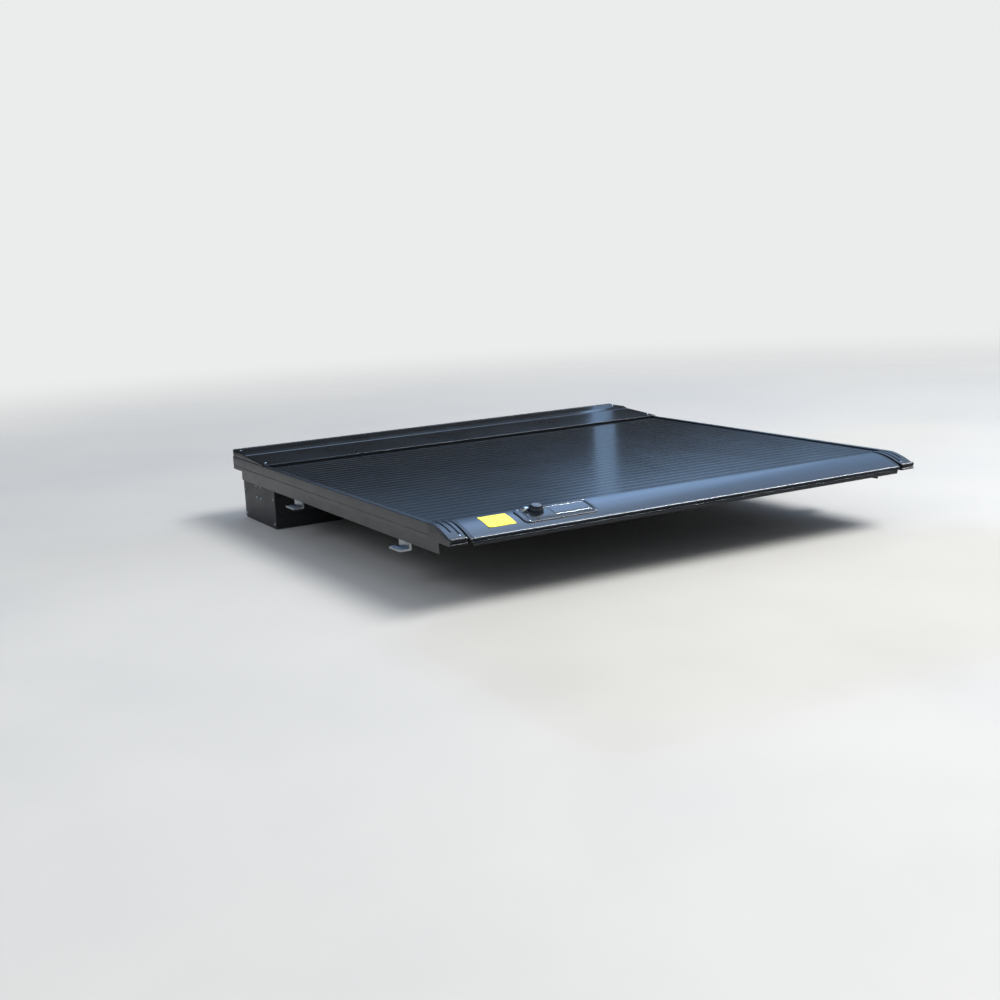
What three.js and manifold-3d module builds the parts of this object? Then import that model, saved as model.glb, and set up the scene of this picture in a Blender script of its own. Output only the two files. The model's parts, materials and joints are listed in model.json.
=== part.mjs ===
// Retractable roller tonneau cover for a pickup bed. Millimetres, +X to the right, +Y to the cab, +Z up.
// The origin is at mid-width, on the plane of the bed rails' tops, under the end bar's rear lip.
import * as THREE from 'three';
import { mergeVertices } from 'three/addons/utils/BufferGeometryUtils.js';
import Module from 'manifold-3d';

// Across the bed
const coverWidth = 1458;
const railWall = 3.5;
const railLipWidth = 14;
const railBoxWidth = 29;
const railLegDrop = 40;
const railRoof = 3;
const channelFloorZ = 25.4;

// Curtain
const slatCount = 30;
const slatPitch = 37;
const slatHeight = 11;
const slatSkin = 2.2;
const slatWeb = 2;
const slatSeam = 0.4;
const hookReach = 2;
const hookDrop = 5;
const hookLift = 1.5;
const hookThickness = 2;
const slatEndPlay = 2.5;

// End bar
const barDepth = 106;
const barLipZ = 14;
const barLipDepth = 5;
const barCurve = 1.9;
const barWall = 3.2;
const barFloorZ = 4;
const barBandZ = 1;
const barBandHeight = 4;
const barBandDepth = 14;
const barNoseWall = 16;
const barCapGap = 6;
const guideThickness = 9;
const guideShoeLength = 27;
const sealDrop = 7;
const sealDepth = 11;

// End caps of the rails
const capWidth = 46;
const capLength = 112;
const capRise = 1.5;
const capWall = 3;
const capSpigot = 36;
const capOverlap = 3.5;

// Canister
const canisterDepth = 275;
const canisterDrop = 160;
const sheet = 3;
const endPlate = 5.5;
const mouthGap = 8;
const lidRise = 22;
const lidStep = 8;
const lidOverhang = 5;
const lidGrooveShare = 0.58;
const lidGrooveDepth = 2.2;
const lidGrooveHalf = 4;
const lidRearWall = 8;
const lidInset = 1;
const brushDepth = 4;
const shellRearDrop = 4;
const shellFrontDrop = 3;
const endPlateSlope = 20;

// Spool
const spoolRadius = 30;
const spoolWall = 4;
const spoolDropZ = 62;
const spoolEndGap = 20;
const bearingHub = 11;
const bearingFlange = 4;
const bearingFlangeReach = 8;
const bearingJournal = 24;
const springBore = 12;
const springTurns = 5;
const springStrip = 1.2;
const springWidth = 10;
const leaderThickness = 1.5;
const leaderWrap = 200;
const leaderInset = 30;

// Lock
const lockX = -461;
const lockSetback = 40;
const plateLeft = -516;
const plateRight = -306;
const plateRear = 20;
const plateFront = 92;
const plateThickness = 2.5;
const plateCorner = 16;
const plateRise = 0.5;
const labelWidth = 106;
const labelMargin = 12;
const labelRearMargin = 16;
const labelThickness = 0.8;
const stickerWidth = 75.5;
const stickerGap = 21;
const stickerRear = 28;
const stickerFront = 85.5;
const stickerThickness = 0.4;
const knobRadius = 18.5;
const knobTopRadius = 13;
const knobHeight = 15;
const knobTaper = 1.2;
const knobWaistShare = 0.6;
const pointerWidth = 6;
const spindleRadius = 4;
const latchTravel = 12;
const pinionTeeth = 10;
const toothAddendum = 1;
const toothDedendum = 1.3;
const rackTeeth = 4;
const rodWidth = 6;
const rodHeight = 8;
const rodDrop = 22.5;
const keyOffset = [-24.8, 6.8];
const keyRadius = 5;
const keyHeight = 9;
const keyRim = 1.6;
const keyStem = 10;
const keySlot = [1.6, 6, 3];

// Clamps under the bed rail
const clampLength = 60;
const clampPlate = 5.7;
const clampReach = 28;
const clampJaw = 56;
const clampTopDrop = 8;
const clampPlaces = [0.18, 0.82];

// Clearances
const gap = 0.3;
const runGap = 0.6;
const channelEndPlay = 2.4;
const cutOver = 1;

// Places that follow from the sizes above
const railOuter = coverWidth / 2;
const slatBottom = channelFloorZ + runGap;
const slatTop = slatBottom + slatHeight;
const channelTop = slatTop + runGap;
const railTop = channelTop + railRoof;
const slatEnd = railOuter - railWall - slatEndPlay;
const curtainStart = barDepth + 1;
const mouthY = curtainStart + slatCount * slatPitch;
const canisterRear = mouthY + mouthGap;
const canisterFront = canisterRear + canisterDepth;
const legInner = railOuter - railBoxWidth;
const plateOuter = legInner - gap;
const plateInner = plateOuter - endPlate;
const barTopZ = railTop - gap;
const capInner = railOuter - capWidth;
const barGuideEnd = capInner - barCapGap;
const barHalfWidth = barGuideEnd - guideThickness - gap;
const lockY = barDepth - lockSetback;
const spoolY = (canisterRear + canisterFront) / 2;
const spoolZ = -spoolDropZ;
const spoolEnd = plateInner - spoolEndGap;
const pitchRadius = latchTravel / (Math.PI / 2);
const toothPitch = 2 * Math.PI * pitchRadius / pinionTeeth;
const plateBoss = gap + plateThickness + plateRise;
const knobSeat = plateBoss + gap;
const lidFloorZ = railTop + 0.4;

const wasm = await Module();
wasm.setup();

const finishes = {
  rail: { color: 0x17181a, roughness: 0.42, metalness: 0.6 },
  slat: { color: 0x1b1e22, roughness: 0.34, metalness: 0.55 },
  bar: { color: 0x1c1f23, roughness: 0.36, metalness: 0.55 },
  moulding: { color: 0x151617, roughness: 0.5, metalness: 0 },
  sheet: { color: 0x141517, roughness: 0.5, metalness: 0.5 },
  rubber: { color: 0x0b0b0c, roughness: 0.85, metalness: 0 },
  bristle: { color: 0x0d0d0d, roughness: 0.95, metalness: 0 },
  steel: { color: 0x9a9c9f, roughness: 0.35, metalness: 0.9 },
  aluminium: { color: 0xa8aaad, roughness: 0.4, metalness: 0.9 },
  chrome: { color: 0xd5d7da, roughness: 0.12, metalness: 1 },
  webbing: { color: 0x1a1a1b, roughness: 0.9, metalness: 0 },
  knob: { color: 0x0f1011, roughness: 0.45, metalness: 0 },
  label: { color: 0x2a2d31, roughness: 0.3, metalness: 0.3 },
  sticker: { color: 0xf2e63a, roughness: 0.55, metalness: 0 },
};

const cover = new THREE.Group();

function add(name, geometry, finish) {
  const mesh = new THREE.Mesh(geometry, new THREE.MeshStandardMaterial(finishes[finish]));
  mesh.name = name;
  cover.add(mesh);
}

// Box between two corners, given in either order along X
function box(xA, xB, y0, y1, z0, z1) {
  const geometry = new THREE.BoxGeometry(Math.abs(xB - xA), y1 - y0, z1 - z0);
  return geometry.translate((xA + xB) / 2, (y0 + y1) / 2, (z0 + z1) / 2);
}

// Closed outline with its corners counter-clockwise and its holes' corners clockwise
function outline(points, holes = []) {
  const wound = (corners, clockwise) => {
    const path = corners.map(([u, v]) => new THREE.Vector2(u, v));
    return THREE.ShapeUtils.isClockWise(path) === clockwise ? path : path.reverse();
  };
  const shape = new THREE.Shape(wound(points, false));
  shape.holes = holes.map((hole) => new THREE.Path(wound(hole, true)));
  return shape;
}

function extrude(points, holes, depth) {
  return new THREE.ExtrudeGeometry(outline(points, holes), { depth, bevelEnabled: false, steps: 1 });
}

// A (y, z) section drawn out along X between two places, given in either order
function alongX(points, xA, xB, holes = []) {
  const low = Math.min(xA, xB);
  const turn = new THREE.Matrix4().set(0, 0, 1, low, 1, 0, 0, 0, 0, 1, 0, 0, 0, 0, 0, 1);
  return extrude(points, holes, Math.abs(xB - xA)).applyMatrix4(turn);
}

// An (x, z) section drawn out along Y
function alongY(points, y0, y1, holes = []) {
  const turn = new THREE.Matrix4().set(1, 0, 0, 0, 0, 0, -1, y1, 0, 1, 0, 0, 0, 0, 0, 1);
  return extrude(points, holes, y1 - y0).applyMatrix4(turn);
}

function alongZ(points, z0, z1) {
  return extrude(points, [], z1 - z0).translate(0, 0, z0);
}

function cylinderZ(radius, x, y, z0, z1, topRadius = radius, sides = 32) {
  const geometry = new THREE.CylinderGeometry(topRadius, radius, z1 - z0, sides);
  return geometry.rotateX(Math.PI / 2).translate(x, y, (z0 + z1) / 2);
}

function cylinderX(radius, xA, xB, y, z, sides = 32) {
  const geometry = new THREE.CylinderGeometry(radius, radius, Math.abs(xB - xA), sides);
  return geometry.rotateZ(Math.PI / 2).translate((xA + xB) / 2, y, z);
}

function toSolid(geometry) {
  const bare = geometry.clone();
  bare.deleteAttribute('normal');
  bare.deleteAttribute('uv');
  const merged = mergeVertices(bare, 1e-4);
  const vertProperties = new Float32Array(merged.attributes.position.array);
  const triVerts = new Uint32Array(merged.index.array);
  return new wasm.Manifold(new wasm.Mesh({ numProp: 3, vertProperties, triVerts }));
}

function toGeometry(solid) {
  const mesh = solid.getMesh();
  const geometry = new THREE.BufferGeometry();
  geometry.setAttribute('position', new THREE.BufferAttribute(mesh.vertProperties, 3));
  geometry.setIndex(new THREE.BufferAttribute(mesh.triVerts, 1));
  geometry.computeVertexNormals();
  return geometry;
}

function join(...geometries) {
  return toGeometry(geometries.map(toSolid).reduce((whole, next) => whole.add(next)));
}

function cut(geometry, ...cutters) {
  return toGeometry(cutters.map(toSolid).reduce((whole, next) => whole.subtract(next), toSolid(geometry)));
}

function common(a, b) {
  return toGeometry(toSolid(a).intersect(toSolid(b)));
}

// Height of the end bar's top skin over its depth: steep at the rear lip, level where the curtain starts
function barSkin(y) {
  const share = Math.min(Math.max((y - barLipDepth) / (barDepth - barLipDepth), 0), 1);
  return barLipZ + (barTopZ - barLipZ) * (1 - (1 - share) ** barCurve);
}

// Slope of that skin, which the lock's axis is square to
const lockSlope = (barTopZ - barLipZ) * barCurve * (lockSetback / (barDepth - barLipDepth)) ** (barCurve - 1)
  / (barDepth - barLipDepth);
const lockTilt = Math.atan(lockSlope);

// Leans a piece made upright, with the skin under the lock at height 0, square to the end bar's skin
function tilted(geometry) {
  return geometry.translate(0, -lockY, 0).rotateX(lockTilt).translate(0, lockY, barSkin(lockY));
}

function skinPoints(y0, y1, rise, steps = 12, top = Infinity) {
  const places = Array.from({ length: steps + 1 }, (_, i) => y0 + (y1 - y0) * i / steps);
  return places.map((y) => [y, Math.min(barSkin(y) + rise, top)]);
}

// A thin layer that follows the end bar's skin
function skinLayer(xA, xB, y0, y1, lift, thickness) {
  const lower = skinPoints(y0, y1, lift);
  const upper = skinPoints(y0, y1, lift + thickness).reverse();
  return alongX([...lower, ...upper], xA, xB);
}

function roundedRectangle(x0, x1, y0, y1, radius, steps = 6) {
  const corners = [[x1 - radius, y0 + radius, -90], [x1 - radius, y1 - radius, 0],
    [x0 + radius, y1 - radius, 90], [x0 + radius, y0 + radius, 180]];
  return corners.flatMap(([x, y, start]) => Array.from({ length: steps + 1 }, (_, i) => {
    const angle = THREE.MathUtils.degToRad(start + 90 * i / steps);
    return [x + radius * Math.cos(angle), y + radius * Math.sin(angle)];
  }));
}

// Slot round a latch rod, leaning as the rod does
function rodSlot(latchY, xA, xB, clearance) {
  return tilted(box(xA, xB, latchY - rodWidth / 2 - clearance, latchY + rodWidth / 2 + clearance,
    -rodDrop - clearance, rodHeight - rodDrop + clearance));
}

// Rail: a box foot on the bed, a guide channel open to the inside over it, and a leg down inside the bed
function addRail(name, side) {
  const lipInner = railOuter - railLipWidth;
  const section = [[legInner, -railLegDrop], [legInner + railWall, -railLegDrop], [legInner + railWall, 0],
    [railOuter, 0], [railOuter, railTop], [lipInner, railTop], [lipInner, channelTop],
    [railOuter - railWall, channelTop], [railOuter - railWall, channelFloorZ], [legInner, channelFloorZ]];
  const chamber = [[legInner + railWall, railWall], [railOuter - railWall, railWall],
    [railOuter - railWall, channelFloorZ - railWall], [legInner + railWall, channelFloorZ - railWall]];
  const sided = (points) => points.map(([x, z]) => [side * x, z]);
  add(name, alongY(sided(section), capLength + gap, canisterFront, [sided(chamber)]), 'rail');
}

// Side outline of an end cap: level with the rail, then down to a rounded nose at the tailgate
function capOutline() {
  const nose = [[0, 0], [0, barLipZ - 2], [0.6, barLipZ + 1.5], [2, barLipZ + capRise]];
  return [...nose, ...skinPoints(barLipDepth + 2, capLength, capRise, 16, railTop), [capLength, 0]];
}

// End cap: closes the rail's rear end, guides the bar's shoe, and takes the latch rod's tip
function addEndCap(name, side, latchY) {
  const body = alongX(capOutline(), side * capInner, side * railOuter);
  const shoeRear = barDepth - guideShoeLength - channelEndPlay;
  const channel = box(side * (capInner - cutOver), side * (railOuter - railWall), shoeRear,
    capLength + cutOver, channelFloorZ, channelTop);
  const hollow = box(side * (capInner + capWall), side * (railOuter - capWall), capWall * 2,
    capLength - capWall, -cutOver, barLipZ + capRise);
  const striker = rodSlot(latchY, side * (capInner - cutOver), side * (capInner + latchTravel), runGap);
  const spigot = box(side * (legInner + railWall + gap), side * (railOuter - railWall - gap),
    capLength - capOverlap, capLength + capSpigot, railWall + gap, channelFloorZ - railWall - gap);
  add(name, join(cut(body, channel, hollow, striker), spigot), 'moulding');
}

// Clamp: hangs on the rail's leg and hooks under the bed's own flange
function addClamp(name, side, share) {
  const y0 = capLength + (canisterRear - capLength) * share - clampLength / 2;
  const inner = plateOuter - clampPlate;
  const outer = inner + clampPlate + clampReach;
  const foot = -clampJaw - clampPlate;
  const section = [[inner, -clampTopDrop], [inner, foot], [outer, foot], [outer, -clampJaw],
    [plateOuter, -clampJaw], [plateOuter, -clampTopDrop]];
  add(name, alongY(section.map(([x, z]) => [side * x, z]), y0, y0 + clampLength), 'steel');
}

// Slat: a thin skin on three webs, with a hook at the front that holds the next slat's short rear web
function slatSection(rear) {
  const front = rear + slatPitch - slatSeam;
  const middle = rear + slatPitch / 2;
  const skinZ = slatTop - slatSkin;
  const nextWeb = front + slatSeam + slatWeb + runGap;
  const hookZ = slatBottom + hookLift;
  return [[rear, slatTop], [rear, slatTop - hookDrop], [rear + slatWeb, slatTop - hookDrop],
    [rear + slatWeb, skinZ], [middle - slatWeb / 2, skinZ], [middle - slatWeb / 2, slatBottom],
    [middle + slatWeb / 2, slatBottom], [middle + slatWeb / 2, skinZ], [front - slatWeb, skinZ],
    [front - slatWeb, slatBottom], [front, slatBottom], [front, hookZ], [nextWeb + hookReach, hookZ],
    [nextWeb + hookReach, skinZ - runGap], [nextWeb, skinZ - runGap], [nextWeb, hookZ + hookThickness],
    [front, hookZ + hookThickness], [front, slatTop]];
}

function addSlats() {
  for (let i = 0; i < slatCount; i += 1) {
    const name = `slat_${String(i + 1).padStart(2, '0')}`;
    add(name, alongX(slatSection(curtainStart + i * slatPitch), -slatEnd, slatEnd), 'slat');
  }
}

// Holes through the bar's skin and the lock plate for the spindle and the key barrel
function lockHoles() {
  const depth = barWall + plateBoss + cutOver;
  const spindleHole = cylinderZ(spindleRadius + runGap, lockX, lockY, -depth, depth);
  const keyHole = cylinderZ(keyRadius + gap, lockX + keyOffset[0], lockY + keyOffset[1], -depth, depth);
  return [tilted(spindleHole), tilted(keyHole)];
}

// Rounded rear nose of the end bar, from its skin down to the groove
const barNose = [[1.6, barLipZ - 1.2], [0.3, barLipZ - 3.4], [0.5, barLipZ - 5.8], [2.2, barLipZ - 7.2]];

// End bar: curved hollow extrusion with a rounded rear nose, a groove and a lower band, and a hook in front
function addEndBar() {
  const hookZ = slatBottom + hookLift;
  const nextWeb = curtainStart + slatWeb + runGap;
  const skinZ = slatTop - slatSkin;
  const hook = [[barDepth, hookZ + hookThickness], [nextWeb, hookZ + hookThickness],
    [nextWeb, skinZ - runGap], [nextWeb + hookReach, skinZ - runGap], [nextWeb + hookReach, hookZ],
    [barDepth, hookZ]];
  const bandTop = barBandZ + barBandHeight;
  const nose = [...barNose, [4.5, barLipZ - 7.4], [4.5, bandTop], [1.5, bandTop], [1.5, barBandZ],
    [barBandDepth, barBandZ], [barBandDepth, barFloorZ]];
  const section = [[barDepth, barFloorZ], ...hook.reverse(),
    ...skinPoints(barLipDepth, barDepth, 0).reverse(), ...nose];
  const chamberRear = barLipDepth + barNoseWall;
  const chamberFloor = barFloorZ + barWall;
  const chamber = [[chamberRear, chamberFloor], ...skinPoints(chamberRear, barDepth - barWall, -barWall),
    [barDepth - barWall, chamberFloor]];
  const body = alongX(section, -barHalfWidth, barHalfWidth, [chamber]);
  add('end_bar', cut(body, ...lockHoles()), 'bar');
}

// Moulded end of the bar: a plate over the open end, with the shoe that runs in the rail's channel
function addBarGuide(name, side, latchY) {
  const plateX = side * (barHalfWidth + gap);
  const endX = side * barGuideEnd;
  const section = [[barDepth, barFloorZ], ...skinPoints(barLipDepth, barDepth, 0).reverse(),
    ...barNose, [barBandDepth, barFloorZ]];
  const plate = alongX(section, plateX, endX);
  const shoe = box(plateX + side * cutOver, side * (railOuter - railWall - slatEndPlay),
    barDepth - guideShoeLength, barDepth, slatBottom, slatTop - gap);
  const rodHole = rodSlot(latchY, side * (barHalfWidth - cutOver), side * (barGuideEnd + cutOver), gap);
  add(name, cut(join(plate, shoe), rodHole), 'moulding');
}

function addSeal() {
  const top = barBandZ - gap;
  const lip = [[2, -sealDrop * 0.4], [4, -sealDrop], [6.5, -sealDrop], [6, -sealDrop * 0.4]];
  const section = [[2.5, top], ...lip, [sealDepth, top]];
  add('tailgate_seal', alongX(section, -barHalfWidth, barHalfWidth), 'rubber');
}

// Lock plate: follows the bar's skin, with a flat boss under the knob
function addLockPlate() {
  const layer = skinLayer(plateLeft, plateRight, plateRear, plateFront, gap, plateThickness);
  const rounded = roundedRectangle(plateLeft, plateRight, plateRear, plateFront, plateCorner);
  const plate = common(layer, alongZ(rounded, 0, railTop + plateCorner));
  const boss = tilted(cylinderZ(knobRadius + keyRim, lockX, lockY, gap + plateRise, plateBoss));
  add('lock_plate', cut(join(plate, boss), ...lockHoles()), 'moulding');
}

function addLabels() {
  const lift = gap * 2 + plateThickness;
  const labelEnd = plateRight - labelMargin;
  add('label_panel', skinLayer(labelEnd - labelWidth, labelEnd, plateRear + labelRearMargin,
    plateFront - labelMargin, lift, labelThickness), 'label');
  const stickerEnd = plateLeft - stickerGap;
  add('blank_sticker', skinLayer(stickerEnd - stickerWidth, stickerEnd, stickerRear, stickerFront, gap,
    stickerThickness), 'sticker');
}

function pinionOutline() {
  const step = 2 * Math.PI / pinionTeeth;
  const tip = pitchRadius + toothAddendum;
  const root = pitchRadius - toothDedendum;
  const flanks = [[-0.28, root], [-0.11, tip], [0.11, tip], [0.28, root]];
  return Array.from({ length: pinionTeeth }, (_, i) => i * step + Math.PI / 2).flatMap(
    (middle) => flanks.map(([share, radius]) => {
      const angle = middle + share * step;
      return [lockX + radius * Math.cos(angle), lockY + radius * Math.sin(angle)];
    }));
}

// Turning parts of the lock: the knob on the plate, and the spindle with its pinion inside the bar
function addLockTurn() {
  const waist = knobSeat + knobHeight * knobWaistShare;
  const top = knobSeat + knobHeight;
  const skirt = cylinderZ(knobRadius, lockX, lockY, knobSeat, waist, knobRadius - knobTaper);
  const head = cylinderZ(knobTopRadius + knobTaper, lockX, lockY, waist - 1, top, knobTopRadius);
  const pointer = box(lockX - pointerWidth / 2, lockX + pointerWidth / 2, lockY + knobTopRadius / 2,
    lockY + knobRadius - knobTaper - 1, waist - 1, top);
  add('lock_knob', tilted(join(skirt, head, pointer)), 'knob');
  const pinion = alongZ(pinionOutline(), -rodDrop, rodHeight - rodDrop);
  const spindle = cylinderZ(spindleRadius, lockX, lockY, -rodDrop - 3, knobSeat - gap);
  add('lock_pinion', tilted(join(pinion, spindle)), 'steel');
}

function addKeyBarrel() {
  const x = lockX + keyOffset[0];
  const y = lockY + keyOffset[1];
  const top = knobSeat + keyHeight;
  const [slotWidth, slotLength, slotDepth] = keySlot;
  const barrel = cylinderZ(keyRadius, x, y, -keyStem, top);
  const rim = cylinderZ(keyRadius + keyRim, x, y, knobSeat, top - 1, keyRadius + 1);
  const slot = box(x - slotWidth / 2, x + slotWidth / 2, y - slotLength / 2, y + slotLength / 2,
    top - slotDepth, top + cutOver);
  add('key_barrel', tilted(cut(join(barrel, rim), slot)), 'chrome');
}

// Latch rod: a flat bar from the pinion to the bar's end, with rack teeth on the side of the pinion
function addLatchRod(name, side) {
  const tipX = side * (barGuideEnd + runGap);
  const rackEnd = lockX - side * (latchTravel + toothPitch * 1.5);
  const flat = lockY + side * (pitchRadius + toothDedendum);
  const back = flat + side * rodWidth;
  const teeth = Array.from({ length: rackTeeth }, (_, i) => lockX - side * toothPitch * (i - 0.5));
  const low = Math.min(rackEnd, tipX);
  const high = Math.max(rackEnd, tipX);
  const tipY = lockY + side * (pitchRadius - toothAddendum);
  const edge = teeth.sort((a, b) => a - b).flatMap((x) => [[x - 0.27 * toothPitch, flat],
    [x - 0.1 * toothPitch, tipY], [x + 0.1 * toothPitch, tipY], [x + 0.27 * toothPitch, flat]]);
  const bar = alongZ([[low, back], [low, flat], ...edge, [high, flat], [high, back]], -rodDrop,
    rodHeight - rodDrop);
  add(name, tilted(bar), 'steel');
}

// Canister shell: one folded sheet, open at the top and at both ends
function addCanister() {
  const rearTop = slatBottom - shellRearDrop;
  const frontTop = railTop - shellFrontDrop;
  const floor = -canisterDrop;
  const section = [[canisterRear, rearTop], [canisterRear, floor], [canisterFront, floor],
    [canisterFront, frontTop], [canisterFront - sheet, frontTop], [canisterFront - sheet, floor + sheet],
    [canisterRear + sheet, floor + sheet], [canisterRear + sheet, rearTop]];
  const half = plateInner - gap;
  add('canister_shell', alongX(section, -half, half), 'sheet');
  for (const [name, side] of [['canister_end_left', -1], ['canister_end_right', 1]]) {
    const plate = [[canisterRear, floor], [canisterFront, floor], [canisterFront, frontTop],
      [canisterRear + endPlateSlope, frontTop], [canisterRear, rearTop]];
    add(name, alongX(plate, side * plateInner, side * plateOuter), 'sheet');
  }
}

// Top outline of the lid: a long slope, a shallow groove, a step and a level front
function lidOutline() {
  const rear = mouthY - lidOverhang;
  const groove = rear + (canisterFront - rear) * lidGrooveShare;
  const low = lidFloorZ + sheet + 0.8;
  const high = lidFloorZ + lidRise;
  const shoulder = high - lidStep;
  return [[rear, lidFloorZ + 1], [rear + 1.2, low - 0.8], [rear + 4, low],
    [groove - lidGrooveHalf, shoulder], [groove, shoulder - lidGrooveDepth],
    [groove + lidGrooveHalf, shoulder],
    [groove + lidStep * 2, high - lidStep / 4], [groove + lidStep * 3, high - 1], [canisterFront - 8, high],
    [canisterFront - 2, high - 1.4], [canisterFront, high - 5]];
}

// Lid: a moulded skin with closed ends, open underneath over the roll
function addLid() {
  const outer = lidOutline();
  const rear = outer[0][0];
  const half = railOuter - lidInset;
  const block = alongX([[rear, lidFloorZ], ...outer, [canisterFront, lidFloorZ]], -half, half);
  const under = outer.slice(3, -2).map(([y, z]) => [Math.min(y, canisterFront - sheet), z - sheet]);
  const hollow = [[rear + lidRearWall, lidFloorZ - cutOver], [rear + lidRearWall, lidFloorZ + 1], ...under,
    [canisterFront - sheet, under[under.length - 1][1] - 1], [canisterFront - sheet, lidFloorZ - cutOver]];
  add('canister_lid', cut(block, alongX(hollow, sheet - half, half - sheet)), 'moulding');
  const brushFront = mouthY + 1;
  const brushRear = brushFront - brushDepth;
  const strip = [[brushRear, slatTop + gap], [brushFront, slatTop + gap], [brushFront, lidFloorZ - gap],
    [brushRear, lidFloorZ - gap]];
  const bristleEnd = railOuter - railLipWidth - gap;
  add('mouth_brush', alongX(strip, -bristleEnd, bristleEnd), 'bristle');
}

function addSpool() {
  const bore = spoolRadius - spoolWall;
  const tube = cut(cylinderX(spoolRadius, -spoolEnd, spoolEnd, spoolY, spoolZ, 40),
    cylinderX(bore, -spoolEnd - cutOver, spoolEnd + cutOver, spoolY, spoolZ, 40));
  add('spool_tube', tube, 'aluminium');
  for (const [name, side] of [['left_bearing', -1], ['right_bearing', 1]]) {
    const face = plateInner - gap;
    const flange = cylinderX(bore + bearingFlangeReach, side * face, side * (face - bearingFlange), spoolY,
      spoolZ);
    const hub = cylinderX(bearingHub, side * (face - bearingFlange / 2), side * (spoolEnd - 2), spoolY,
      spoolZ);
    const journal = cylinderX(bore - gap, side * (spoolEnd + 0.5), side * (spoolEnd - bearingJournal), spoolY,
      spoolZ, 40);
    add(name, join(flange, hub, journal), 'moulding');
  }
}

// Clock spring round the left bearing's hub
function addSpring() {
  const turnSteps = 20;
  const steps = springTurns * turnSteps;
  const growth = (spoolRadius + 2 - springBore) / steps;
  const place = (i, offset) => {
    const angle = 2 * Math.PI * i / turnSteps;
    const radius = springBore + growth * i + offset;
    return [spoolY + radius * Math.cos(angle), spoolZ + radius * Math.sin(angle)];
  };
  const inside = Array.from({ length: steps + 1 }, (_, i) => place(i, 0));
  const outside = Array.from({ length: steps + 1 }, (_, i) => place(i, springStrip)).reverse();
  const start = plateInner - gap - bearingFlange - 1.5;
  add('spool_spring', alongX([...inside, ...outside], -start, -start + springWidth), 'steel');
}

// Webbing leader from the last slat's hook down to the spool and part way round it
function addLeader() {
  const start = [mouthY + 7, slatBottom + 3];
  const radius = spoolRadius + gap;
  const reach = Math.hypot(spoolY - start[0], spoolZ - start[1]);
  const toStart = Math.atan2(start[1] - spoolZ, start[0] - spoolY);
  const tangent = toStart - Math.acos(radius / reach);
  const band = (extra) => Array.from({ length: 19 }, (_, i) => {
    const angle = tangent - THREE.MathUtils.degToRad(leaderWrap) * i / 18;
    return [spoolY + (radius + extra) * Math.cos(angle), spoolZ + (radius + extra) * Math.sin(angle)];
  });
  const lean = [Math.cos(tangent) * leaderThickness, Math.sin(tangent) * leaderThickness];
  const lower = [start, ...band(0)];
  const upper = [[start[0] + lean[0], start[1] + lean[1]], ...band(leaderThickness)].reverse();
  add('curtain_leader', alongX([...lower, ...upper], leaderInset - spoolEnd, spoolEnd - leaderInset),
    'webbing');
}

const leftLatchY = lockY - pitchRadius - toothDedendum - rodWidth / 2;
const rightLatchY = lockY + pitchRadius + toothDedendum + rodWidth / 2;

addRail('left_rail', -1);
addRail('right_rail', 1);
addEndCap('left_end_cap', -1, leftLatchY);
addEndCap('right_end_cap', 1, rightLatchY);
for (const [place, share] of [['rear', clampPlaces[0]], ['front', clampPlaces[1]]]) {
  addClamp(`left_clamp_${place}`, -1, share);
  addClamp(`right_clamp_${place}`, 1, share);
}
addSlats();
addEndBar();
addBarGuide('left_bar_guide', -1, leftLatchY);
addBarGuide('right_bar_guide', 1, rightLatchY);
addSeal();
addLockPlate();
addLabels();
addLockTurn();
addKeyBarrel();
addLatchRod('left_latch_rod', -1);
addLatchRod('right_latch_rod', 1);
addCanister();
addLid();
addSpool();
addSpring();
addLeader();

export default cover;
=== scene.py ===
# Roller tonneau cover for a pickup bed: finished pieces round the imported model, in metres.
# +X is right across the bed, +Y is to the cab and +Z is up; 0 is on top of the bed rails at the tailgate.
import json
import math
import random

import bmesh
import bpy
from mathutils import Matrix, Vector
from mathutils.geometry import tessellate_polygon


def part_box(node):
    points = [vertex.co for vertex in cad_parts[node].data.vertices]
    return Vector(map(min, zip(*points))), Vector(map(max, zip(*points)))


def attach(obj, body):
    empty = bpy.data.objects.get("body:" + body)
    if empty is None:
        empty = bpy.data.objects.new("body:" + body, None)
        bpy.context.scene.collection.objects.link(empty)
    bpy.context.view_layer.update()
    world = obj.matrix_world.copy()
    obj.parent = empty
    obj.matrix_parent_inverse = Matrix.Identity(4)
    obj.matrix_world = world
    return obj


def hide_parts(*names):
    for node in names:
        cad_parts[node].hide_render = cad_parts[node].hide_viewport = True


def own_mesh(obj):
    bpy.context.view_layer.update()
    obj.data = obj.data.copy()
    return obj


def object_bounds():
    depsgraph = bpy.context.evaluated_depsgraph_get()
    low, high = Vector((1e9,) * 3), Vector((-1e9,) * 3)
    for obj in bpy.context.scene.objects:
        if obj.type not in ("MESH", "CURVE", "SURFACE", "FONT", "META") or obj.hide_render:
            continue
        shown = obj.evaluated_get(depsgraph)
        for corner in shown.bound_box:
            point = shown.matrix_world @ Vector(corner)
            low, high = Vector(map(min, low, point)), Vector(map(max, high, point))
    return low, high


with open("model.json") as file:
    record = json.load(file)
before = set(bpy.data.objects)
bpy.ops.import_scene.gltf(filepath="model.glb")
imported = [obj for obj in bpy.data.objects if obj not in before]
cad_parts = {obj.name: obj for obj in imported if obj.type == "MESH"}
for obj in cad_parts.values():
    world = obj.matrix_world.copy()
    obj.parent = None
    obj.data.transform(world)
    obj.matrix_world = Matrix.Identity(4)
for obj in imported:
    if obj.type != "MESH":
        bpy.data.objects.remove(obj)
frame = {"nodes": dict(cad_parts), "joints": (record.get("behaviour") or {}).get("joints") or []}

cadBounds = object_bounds()
mm = 0.001
random.seed(7)


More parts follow.
